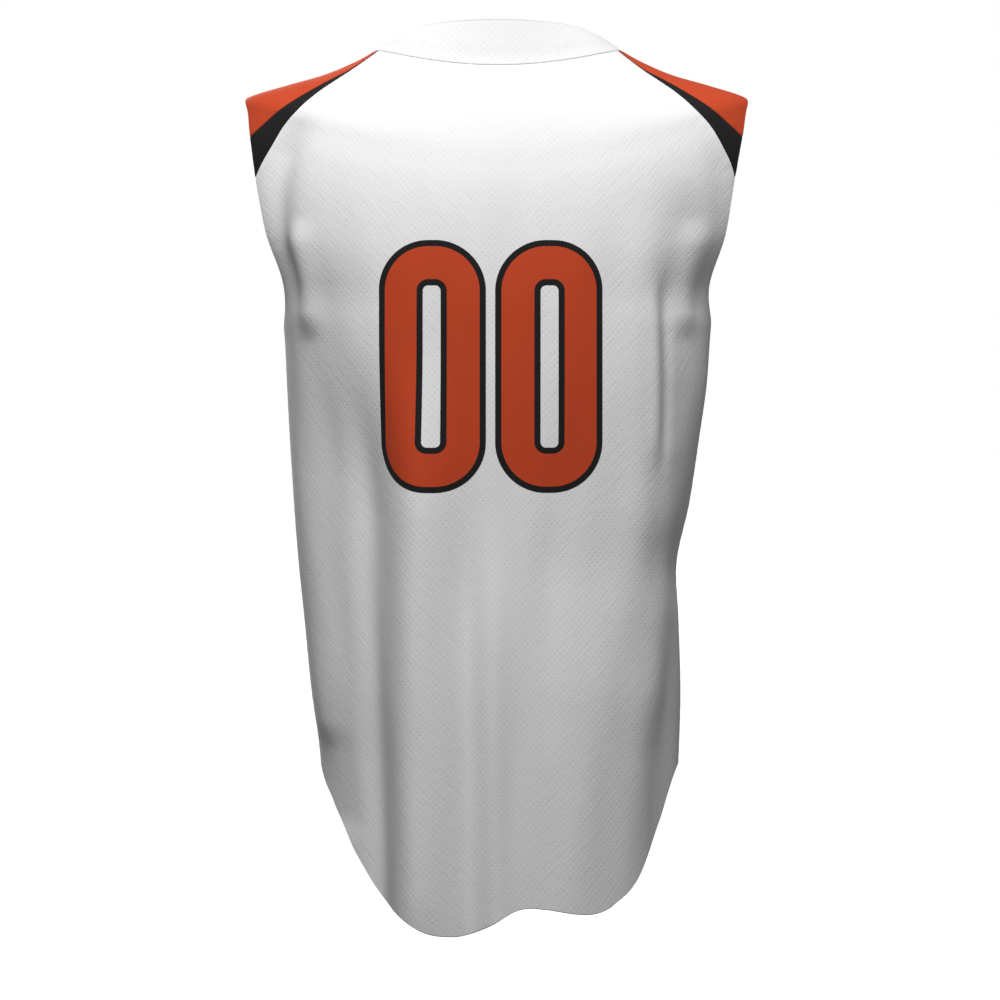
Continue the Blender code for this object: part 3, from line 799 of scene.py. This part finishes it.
def knit_lines(paint, x, y, depth):
    """Relief of the knit in metres, and how deep in one of its dimples a place is, from 0 to 1."""
    cloth = jersey().cloth
    sway, lean = (paint.noise(x + shift, y, SWAY_SCALE) - 0.5 for shift in SHIFTS[:2])
    across, up = x + sway * SWAY, y + lean * SWAY
    lattice = ripple(across, cloth.dimple_width) * ripple(up, cloth.dimple_height)
    wear = paint.step(*WEAR_EDGES, paint.noise(x + SHIFTS[2], y, WEAR_SCALE))
    dimple = paint.step(*DIMPLE_EDGES, lattice) * (LEAST_DIMPLE + wear * (1 - LEAST_DIMPLE))
    loops = ripple(x, cloth.wale) * ripple(y, cloth.wale / COURSES)
    side = abs(x)
    drag = paint.noise((side - y) * DRAG_ACROSS, (side + y) * DRAG_ALONG, 1.0) - 0.5
    drag = drag * paint.step(*DRAG_START, side)
    relief = drag * (cloth.drag_depth * depth) - dimple * (cloth.dimple_depth * depth)
    return relief + loops * (cloth.wale_depth * depth), dimple


def stitch_lines(paint, along, off, on):
    """Relief of a row of stitches, and how much of it a place lies on."""
    away = abs(off)
    dash = paint.step(*STITCH_ENDS, ripple(along, jersey().cloth.stitch_length))
    stitch = (1 - paint.step(*STITCH_SIDES, away)) * dash * on
    groove = (1 - paint.step(*GROOVE_SIDES, away)) * on
    return stitch * STITCH_HEIGHT - groove * GROOVE_DEPTH, stitch


def knit(name, colour, depth, print_layer=None):
    """The jersey's knit: dimpled mesh, fine loops, drag lines and stitched edges, with painted shade in
    the dimples and along the seams.
    """
    paint = Paint(name, Sheen_Weight=0.04, Sheen_Roughness=0.5, Specular_IOR_Level=0.2)
    x, y, outside = paint.lengths("cut")
    along, off, seam = paint.lengths("edge")
    relief, dimple = knit_lines(paint, x, y, depth)
    patches = paint.noise(x, y, PATCH_SCALE, detail=3.0)
    # Painted shade: the colour darkens in the knit's dimples.
    base = paint.mix(dimple * (DIMPLE_PAINTED_SHADE * depth), shade(colour), shade(colour, LIGHT_SHADE))
    base = paint.mix((patches - PATCH_LEVEL) * PATCH_SHADE, base, shade(colour, LIGHT_SHADE))
    if print_layer:
        base, printed = print_layer(paint, x, y, outside, base)
        relief = relief * (1 - printed * PRINT_FILLS) + printed * PRINT_HEIGHT
    stitch_relief, stitch = stitch_lines(paint, along, off, outside)
    # Painted shade: the colour darkens close to a seam, where the cloth rolls down into it.
    hollow = 1 - paint.step(0.0, SEAM_SHADE_REACH, seam)
    dark = hollow * SEAM_PAINTED_SHADE + stitch * STITCH_SHADE
    return paint.finish(Base_Color=paint.mix(dark, base, shade(colour, DEEP_SHADE)),
                        Roughness=0.76 + patches * 0.10, Normal=paint.bump(relief + stitch_relief))


def number_layer(paint, x, y, outside, base):
    """A plain two-digit number 00 printed on the back: filled strokes with a dark outline."""
    cloth, number = jersey().cloth, jersey().number
    digit = abs(x - number.centre_x) - number.pitch / 2
    half_x = number.width / 2 - number.outline - number.stroke / 2
    half_y = number.height / 2 - number.outline - number.stroke / 2
    q_x = abs(digit) - (half_x - number.corner)
    q_y = abs(y - number.centre_y) - (half_y - number.corner)
    far_x, far_y = q_x.at_least(0.0), q_y.at_least(0.0)
    path = (far_x * far_x + far_y * far_y).root() + q_x.at_least(q_y).at_most(0.0) - number.corner
    ends = number.stroke / 2, number.stroke / 2 + number.outline
    fill, rim = ((1 - paint.step(end - PRINT_EDGE, end + PRINT_EDGE, abs(path))) * outside for end in ends)
    inked = paint.mix(rim, base, shade(cloth.black))
    return paint.mix(fill, inked, shade(cloth.orange)), rim


def moulded(name, colour):
    """Cast plastic of the buttons, faintly clouded."""
    paint = Paint(name, Coat_Weight=0.25, Coat_Roughness=0.2)
    cloud = paint.object_noise(260.0, detail=3.0)
    grain = paint.object_noise(2600.0, detail=2.0)
    base = paint.mix(cloud, shade(colour), shade(colour, 0.86))
    relief = paint.bump(grain * 0.00001)
    return paint.finish(Base_Color=base, Roughness=0.26 + cloud * 0.14, Normal=relief)


def thread(name, colour):
    """Twisted sewing thread."""
    paint = Paint(name, Roughness=0.7, Sheen_Weight=0.2)
    along, around, _ = paint.lengths("cut")
    ply = (along * (2 * pi / THREAD_TWIST) + around).cosine()
    # Painted shade: the colour darkens in the grooves between the plies.
    base = paint.mix(0.5 - ply * 0.5, shade(colour), shade(colour, 0.7))
    return paint.finish(Base_Color=base, Normal=paint.bump(ply * PLY_HEIGHT))


def shared(name, make, *args):
    """The material of this name, made on its first use."""
    return bpy.data.materials.get(name) or make(name, *args)


def white_knit():
    return shared("white knit", knit, jersey().cloth.white, 1.0)


# ---------------------------------------------------------------- buttons
BUTTON_SIDES = 64
BUTTON_RINGS = 34
HOLE_ASIDE = 0.00165 / 2 ** 0.5  # of a hole's middle from the button's middle, both ways
HOLE_RADIUS = 0.00075
HOLE_EDGES = (0.75, 1.15)  # shares of that radius between which the hole's wall rises
HOLE_DEPTH = 0.0012
THREAD_SIDES = 8
STRAND_RADIUS = 0.00027  # of the crossed thread on a button
STRAND_POINTS = 15
STRAND_ARCH = 0.00055    # rise of its middle over the button's middle
STRAND_DIVE = 0.0007     # drop of its ends into the holes
STRAND_OVER = 0.00018    # by which the upper strand passes over the lower one
OVERSEW_RADIUS = 0.0005  # of the stitches round a buttonhole
OVERSEW_HALF = 0.00105   # their distance from the buttonhole's middle line
OVERSEW_COUNT = 46
OVERSEW_POINTS = 4       # for each stitch
OVERSEW_SWELL = 0.14     # share by which each stitch is thicker at its middle
# Turned profile of a button's face: shares of its radius and of its height.
BUTTON_PROFILE = [(0.0, 0.66), (0.50, 0.66), (0.62, 0.70), (0.74, 0.94), (0.84, 1.0), (0.93, 0.96),
                  (0.985, 0.80), (1.0, 0.55), (0.985, 0.22), (0.93, 0.0)]


def button_seat(box):
    """Middle of a button's back and the direction it faces."""
    middle = (box[0] + box[1]) / 2
    turn, level = find(middle.z, 1, False, x=(PLACKET_LEFT + PLACKET_RIGHT) / 2)
    outwards = normals(cloth_point, turn, level)
    return cloth_point(turn, level) + outwards * (LAYER + 2 * LAYER_GAP), outwards


def button_shape(radius, height):
    """Vertices and faces of a four-hole button whose flat back lies at height 0."""
    shares = np.linspace(0, len(BUTTON_PROFILE) - 1, BUTTON_RINGS)
    profile = smooth_table(BUTTON_PROFILE, shares)[1:]
    angles = 2 * pi * np.arange(BUTTON_SIDES) / BUTTON_SIDES
    r, z = profile[:, :1] * radius, np.repeat(profile[:, 1:] * height, BUTTON_SIDES, 1)
    x, y = r * np.cos(angles), r * np.sin(angles)
    away = np.hypot(np.abs(x) - HOLE_ASIDE, np.abs(y) - HOLE_ASIDE) / HOLE_RADIUS
    z = z - HOLE_DEPTH * (1 - smooth_step(*HOLE_EDGES, away))
    vertices = [(0, 0, profile[0, 1] * height)] + list(zip(x.ravel(), y.ravel(), z.ravel()))
    faces = []
    for k in range(BUTTON_SIDES):
        m = (k + 1) % BUTTON_SIDES
        faces.append((0, 1 + k, 1 + m))
        for ring in range(len(profile) - 1):
            a, b = 1 + ring * BUTTON_SIDES, 1 + (ring + 1) * BUTTON_SIDES
            faces.append((a + k, b + k, b + m, a + m))
    last = 1 + (len(profile) - 1) * BUTTON_SIDES
    faces.append(tuple(last + k for k in reversed(range(BUTTON_SIDES))))
    return vertices, faces


def strand(path, radius, closed=False, stitches=0):
    """Vertices, faces and lengths of a thread along a path; stitches swell it."""
    sides = THREAD_SIDES
    if closed:
        ahead, behind = np.roll(path, -1, 0), np.roll(path, 1, 0)
    else:
        ahead, behind = np.vstack([path[1:], path[-1:]]), np.vstack([path[:1], path[:-1]])
    tangent = unit(ahead - behind)
    side = unit(np.cross(tangent, (0, 0, 1)))
    up = np.cross(side, tangent)
    angles = 2 * pi * np.arange(sides) / sides
    swell = 1 + OVERSEW_SWELL * np.cos(2 * pi * stitches * np.arange(len(path)) / len(path))
    ring = side[:, None] * np.cos(angles)[:, None] + up[:, None] * np.sin(angles)[:, None]
    points = path[:, None] + ring * (radius * swell)[:, None, None]
    faces = []
    for i in range(len(path) - (0 if closed else 1)):
        a, b = i * sides, ((i + 1) % len(path)) * sides
        faces += [(a + k, a + (k + 1) % sides, b + (k + 1) % sides, b + k) for k in range(sides)]
    if not closed:
        last = (len(path) - 1) * sides
        faces += [tuple(reversed(range(sides))), tuple(range(last, last + sides))]
    cut = np.zeros((len(path) * sides, 3))
    cut[:, 0] = np.repeat(run_along(path), sides)
    cut[:, 1] = np.tile(angles, len(path))
    return points.reshape(-1, 3), faces, cut


def slot_path(length, half, steps):
    """Even steps once round a slot with round ends, `half` to each side of its middle line."""
    straight = length - 2 * half
    lap = straight + pi * half
    at = 2 * lap * np.arange(steps) / steps
    run, facing = at % lap, np.where(at < lap, 1, -1)
    angle = np.clip((run - straight) / half, 0, pi)
    along = np.minimum(run, straight) - straight / 2 + half * np.sin(angle)
    return np.stack([facing * half * np.cos(angle), facing * along, 0 * at], -1)


def joined(parts):
    """Puts several (vertices, faces, cut, material index) together."""
    vertices, faces, cuts, picks = [], [], [], []
    for points, own_faces, cut, pick in parts:
        start = len(vertices)
        vertices += [tuple(p) for p in points]
        faces += [tuple(v + start for v in face) for face in own_faces]
        cuts += [tuple(c) for c in cut]
        picks += [pick] * len(own_faces)
    return vertices, faces, np.array(cuts), picks


# ---------------------------------------------------------------- settings
def jersey():
    return bpy.context.scene.jersey


def length_setting(name, description, default):
    return FloatProperty(name=name, description=description, default=default, unit="LENGTH",
                         precision=6)


def colour_setting(name, description, default):
    return FloatVectorProperty(name=name, description=description, default=default, size=3,
                               subtype="COLOR", min=0, max=1)


class ClothSettings(PropertyGroup):
    """The knit and its colours."""

    thickness: length_setting("Thickness", "Of one layer of cloth", 0.0009)
    turned: length_setting("Turned edge", "Width of the turned hem and armhole edges", 0.014)
    fold_depth: FloatProperty(name="Folds", description="Share of the folds' full depth", default=1.0,
                              min=0.0, max=2.0, subtype="FACTOR")
    dimple_width: length_setting("Dimple width", "Knit repeat across the cloth", 0.0050)
    dimple_height: length_setting("Dimple height", "Knit repeat up the cloth", 0.0056)
    dimple_depth: length_setting("Dimple depth", "Depth of the mesh's dimples", 0.00009)
    drag_depth: length_setting("Drag lines", "Height of the slanting drag lines", 0.00013)
    wale: length_setting("Wale", "Distance between two columns of knit loops", 0.00110)
    wale_depth: length_setting("Wale depth", "Height of the knit loops", 0.00002)
    stitch_length: length_setting("Stitch", "Length of one stitch", 0.0026)
    white: colour_setting("White", "Colour of the body", (0.86, 0.86, 0.86))
    orange: colour_setting("Orange", "Colour of the shoulder insets and the number",
                           (0.56, 0.062, 0.017))
    black: colour_setting("Black", "Colour of the tapered insets and the number's outline",
                          (0.0115, 0.0108, 0.0115))


class NumberSettings(PropertyGroup):
    """The plain number printed on the back, measured on the flat cut from the underarm line."""

    centre_x: length_setting("Sideways", "Middle of the number, + to the wearer's left", 0.0062)
    centre_y: length_setting("Height", "Middle of the number over the underarm line", -0.0304)
    width: length_setting("Digit width", "With its outline", 0.0908)
    height: length_setting("Digit height", "With its outline", 0.211)
    pitch: length_setting("Pitch", "From one digit's middle to the next", 0.0985)
    corner: length_setting("Corner", "Radius of the strokes' bends", 0.0235)
    stroke: length_setting("Stroke", "Width of the strokes", 0.0275)
    outline: length_setting("Outline", "Width of the outline", 0.0052)


class ButtonSettings(PropertyGroup):
    """The six buttons and their buttonholes."""

    count: IntProperty(name="Buttons", description="On the placket", default=6, min=1, max=6)
    radius: length_setting("Radius", "Of a button", 0.0058)
    height: length_setting("Height", "Of a button's rim", 0.0026)
    hole_length: length_setting("Buttonhole", "Length of a buttonhole", 0.0165)
    colour: colour_setting("Colour", "Of the buttons", (0.80, 0.80, 0.78))
    thread: colour_setting("Thread", "Colour of the sewing thread", (0.78, 0.78, 0.77))


class StudioSettings(PropertyGroup):
    """Camera, floor and lights."""

    distance: length_setting("Distance", "Of the camera behind the jersey", 3.5)
    aim: FloatVectorProperty(name="Aim", description="Sideways place and height of the camera", size=2,
                             default=(-0.0017, -0.3966), unit="LENGTH", precision=4)
    lens: FloatProperty(name="Lens", description="Focal length", default=145.8, unit="CAMERA")
    floor: length_setting("Floor", "Height of the floor", -1.0)
    key: FloatProperty(name="Key light", description="Power of the softbox behind the jersey",
                       default=43.5, unit="POWER")
    front: FloatProperty(name="Front light", description="Power of the softbox on the far side",
                         default=38.0, unit="POWER")
    fill: FloatProperty(name="Fill", description="Brightness of the room", default=0.152, min=0.0)


class JerseySettings(PropertyGroup):
    """Everything that a user would change."""

    cloth: PointerProperty(type=ClothSettings)
    number: PointerProperty(type=NumberSettings)
    button: PointerProperty(type=ButtonSettings)
    studio: PointerProperty(type=StudioSettings)


# ---------------------------------------------------------------- operators
def no_free(places):
    """Marks for a grid's points, none of them on an open edge yet."""
    return np.zeros(places.shape[:2], bool)


def body_free(places, arm_column):
    """Open borders of a body panel: its hem, and its armhole in the given columns."""
    free = no_free(places)
    free[0] = True
    start = places.shape[0] - (ARM_ROWS + len(inset_seam(1, True, "white")))
    free[start + 1:start + ARM_ROWS, arm_column] = True
    return free


class JERSEY_OT_back(Operator):
    """Makes the back panel, with the plain number printed on it"""

    bl_idname = "jersey.back"
    bl_label = "Back"

    def execute(self, context):
        cloth = jersey().cloth
        places = back_grid()
        printed = shared("numbered knit", knit, cloth.white, 1.0, number_layer)
        piece = add_cloth("back", places, body_free(places, [0, -1]), printed, 0.0, cloth.thickness,
                          turned=cloth.turned)
        return {"FINISHED"}


class JERSEY_OT_fronts(Operator):
    """Makes the left and right fronts"""

    bl_idname = "jersey.fronts"
    bl_label = "Fronts"

    def execute(self, context):
        cloth = jersey().cloth
        for name, side, edge_x, flat, area in (
                ("left", 1, UNDERLAP + LAYER_GAP, (0.245, 0.77), 0.140),
                ("right", -1, UNDERLAP, (0.272, 0.77), 0.155)):
            places = front_grid(side, edge_x)
            free = body_free(places, 0)
            free[:, -1] = True
            piece = add_cloth(f"front_{name}", places, free, white_knit(), side * pi, cloth.thickness,
                              turned=cloth.turned)
        return {"FINISHED"}


class JERSEY_OT_placket(Operator):
    """Makes the placket that laps over the right front"""

    bl_idname = "jersey.placket"
    bl_label = "Placket"

    def execute(self, context):
        cloth = jersey().cloth
        places = placket_grid()
        free = no_free(places)
        free[0] = free[:, -1] = free[:, 0] = True
        piece = add_cloth("placket", places, free, white_knit(), pi, DOUBLED * cloth.thickness,
                          lift=LAYER + LAYER_GAP, stitch=PLACKET_STITCH)
        return {"FINISHED"}


class JERSEY_OT_insets(Operator):
    """Makes the orange shoulder insets and the black tapered ones beside them"""

    bl_idname = "jersey.insets"
    bl_label = "Shoulder insets"

    def execute(self, context):
        cloth = jersey().cloth
        for side_name, side in (("left", 1), ("right", -1)):
            pieces = [(f"shoulder_{side_name}", shoulder_grid(side), "orange", (0.15, 0.155), 0.0138)]
            for face, back_side in (("back", True), ("front", False)):
                pieces.append((f"crescent_{face}_{side_name}", crescent_grid(side, back_side), "black",
                               (0.037, 0.172), 0.0021))
            for node, places, colour, flat, area in pieces:
                free = no_free(places)
                free[0] = True
                dyed = shared(f"{colour} knit", knit, getattr(cloth, colour), INSET_DEPTH)
                piece = add_cloth(node, places, free, dyed, side * QUARTER, cloth.thickness,
                                  turned=cloth.turned)
        return {"FINISHED"}


class JERSEY_OT_neckband(Operator):
    """Makes the doubled band round the neck"""

    bl_idname = "jersey.neckband"
    bl_label = "Neckband"

    def execute(self, context):
        cloth = jersey().cloth
        places = band_grid()
        free = no_free(places)
        free[-1] = free[:, 0] = free[:, -1] = True
        raised = smooth_step(*np.radians(BAND_RISE), places[..., 0]) * (LAYER + 2 * LAYER_GAP)
        piece = add_cloth("neckband", places, free, white_knit(), 0.0, DOUBLED * cloth.thickness,
                          lift=raised)
        return {"FINISHED"}


class JERSEY_OT_buttons(Operator):
    """Makes the buttons, sewn on through four holes, and the worked buttonholes under them"""

    bl_idname = "jersey.buttons"
    bl_label = "Buttons"

    def execute(self, context):
        button = jersey().button
        plastic = shared("button plastic", moulded, button.colour)
        sewing = shared("sewing thread", thread, button.thread)
        for number in range(1, button.count + 1):
            node = f"button_{number}"
            seat, outwards = button_seat(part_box(node))
            across = unit(np.cross((0, 0, 1), outwards))
            axes = np.stack([across, np.cross(outwards, across), outwards])
            self.make_button(node, seat, axes, [plastic, sewing])
            self.make_buttonhole(f"buttonhole_{number}", seat - outwards * LAYER_GAP, axes, sewing)
        return {"FINISHED"}

    def make_button(self, node, seat, axes, materials):
        button = jersey().button
        vertices, faces = button_shape(button.radius, button.height)
        parts = [(vertices, faces, np.zeros((len(vertices), 3)), 0)]
        share = np.linspace(-1, 1, STRAND_POINTS)
        rise = button.height * BUTTON_PROFILE[0][1] + STRAND_ARCH * (1 - share ** 4)
        rise[[0, -1]] -= STRAND_DIVE
        for slant, over in ((1, STRAND_OVER), (-1, 0.0)):
            path = np.stack([share * HOLE_ASIDE, share * HOLE_ASIDE * slant, rise + over], -1)
            parts.append((*strand(path, STRAND_RADIUS), 1))
        vertices, faces, cut, picks = joined(parts)
        placed = np.array(vertices) @ axes + seat
        piece = add_piece(f"{node}_sewn", placed, faces, materials, {"cut": cut}, picks)
        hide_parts(node)

    def make_buttonhole(self, name, seat, axes, sewing):
        steps = OVERSEW_COUNT * OVERSEW_POINTS
        path = slot_path(jersey().button.hole_length, OVERSEW_HALF, steps)
        points, faces, cut = strand(path, OVERSEW_RADIUS, closed=True, stitches=OVERSEW_COUNT)
        piece = add_piece(name, points @ axes + seat, faces, [sewing], {"cut": cut})


# ---------------------------------------------------------------- the studio
# The softboxes: high up behind the jersey, and low on its far side. power is the setting that holds
# a softbox's power.
Softbox = namedtuple("Softbox", "name place target size power")
SOFTBOXES = [
    Softbox("key softbox", (0.08, 1.2, 1.4), (0.0, 0.1, -0.30), (1.0, 0.7), "key"),
    Softbox("front softbox", (0.8, -2.2, 0.5), (0.0, 0.0, -0.35), (1.2, 1.0), "front"),
]
FLOOR_REACH = 60.0       # half the floor's side
FLOOR_EDGES = (0.5, 1.4)  # distances from the floor's middle between which it brightens
FLOOR_GLOWS = (0.50, 1.0)  # at its middle and far away
FLOOR_GREYS = (0.55, 0.60)


class JERSEY_OT_studio(Operator):
    """Makes the floor, the softboxes, the room and the camera"""

    bl_idname = "jersey.studio"
    bl_label = "Studio"

    def execute(self, context):
        studio = jersey().studio
        scene = context.scene
        scene.view_settings.view_transform = "Standard"
        self.make_camera(scene, studio)
        self.make_floor(studio)
        self.make_room(scene, studio)
        for softbox in SOFTBOXES:
            self.make_light(softbox, getattr(studio, softbox.power))
        return {"FINISHED"}

    def make_camera(self, scene, studio):
        data = bpy.data.cameras.new("camera")
        data.lens = studio.lens
        data.clip_end = 200
        camera = bpy.data.objects.new("camera", data)
        camera.location = (studio.aim[0], studio.distance, studio.aim[1])
        camera.rotation_euler = (QUARTER, 0, pi)
        scene.collection.objects.link(camera)
        scene.camera = camera

    def make_floor(self, studio):
        mesh = bpy.data.meshes.new("floor")
        corners = [(x * FLOOR_REACH, y * FLOOR_REACH, 0) for x, y in ((-1, -1), (1, -1), (1, 1), (-1, 1))]
        mesh.from_pydata(corners, [], [(0, 1, 2, 3)])
        floor = bpy.data.objects.new("floor", mesh)
        floor.location.z = studio.floor
        bpy.context.scene.collection.objects.link(floor)
        # Painted light: the floor glows, half as much at its middle, where the jersey's soft shadow shows,
        # as far away, where it looks plain white.
        paint = Paint("pale floor", Roughness=0.9, Emission_Strength=1.0)
        place = paint.node("ShaderNodeTexCoord", output="Object")
        away = paint.node("ShaderNodeVectorMath", {"operation": "LENGTH"}, {0: place}, output="Value")
        far = paint.step(*FLOOR_EDGES, away)
        glow = paint.mix(far, *map(grey, FLOOR_GLOWS))
        base = paint.mix(far, *map(grey, FLOOR_GREYS))
        mesh.materials.append(paint.finish(Base_Color=base, Emission_Color=glow))
        floor.visible_diffuse = floor.visible_glossy = False

    def make_room(self, scene, studio):
        """Soft light from all round, in a room that the camera sees as plain white."""
        scene.world = bpy.data.worlds.new("room")
        room = ShaderNodes(scene.world)
        room.tree.nodes.remove(room.tree.nodes["Background"])
        light, seen = (room.node("ShaderNodeBackground", None, {"Color": grey(1.0), "Strength": strength})
                       for strength in (studio.fill, 1.0))
        camera_ray = room.node("ShaderNodeLightPath", output="Is Camera Ray")
        mixed = room.node("ShaderNodeMixShader", None, {0: camera_ray, 1: light, 2: seen})
        room.connect(room.tree.nodes["World Output"].inputs["Surface"], mixed)

    def make_light(self, softbox, power):
        data = bpy.data.lights.new(softbox.name, "AREA")
        data.shape = "RECTANGLE"
        data.size, data.size_y = softbox.size
        data.energy = power
        light = bpy.data.objects.new(softbox.name, data)
        light.location = softbox.place
        towards = Vector(softbox.target) - light.location
        light.rotation_euler = towards.to_track_quat("-Z", "Y").to_euler()
        bpy.context.scene.collection.objects.link(light)


class JERSEY_PT_parts(Panel):
    """Lists the jersey's pieces and their settings"""

    bl_label = "Sleeveless jersey"
    bl_space_type = "VIEW_3D"
    bl_region_type = "UI"
    bl_category = "Jersey"

    def draw(self, context):
        settings = context.scene.jersey
        for operator in OPERATORS:
            self.layout.operator(operator.bl_idname)
        for group in (settings.cloth, settings.number, settings.button, settings.studio):
            box = self.layout.box()
            for key in group.bl_rna.properties.keys():
                if key not in ("name", "rna_type"):
                    box.prop(group, key)


OPERATORS = [JERSEY_OT_studio, JERSEY_OT_back, JERSEY_OT_fronts, JERSEY_OT_placket, JERSEY_OT_insets,
             JERSEY_OT_neckband, JERSEY_OT_buttons]
CLASSES = [ClothSettings, NumberSettings, ButtonSettings, StudioSettings, JerseySettings, *OPERATORS,
           JERSEY_PT_parts]


def register():
    for cls in CLASSES:
        bpy.utils.register_class(cls)
    bpy.types.Scene.jersey = PointerProperty(type=JerseySettings)


def unregister():
    del bpy.types.Scene.jersey
    for cls in reversed(CLASSES):
        bpy.utils.unregister_class(cls)


def main():
    register()
    for operator in OPERATORS:
        group, name = operator.bl_idname.split(".")
        getattr(getattr(bpy.ops, group), name)()


if __name__ == "__main__":
    main()
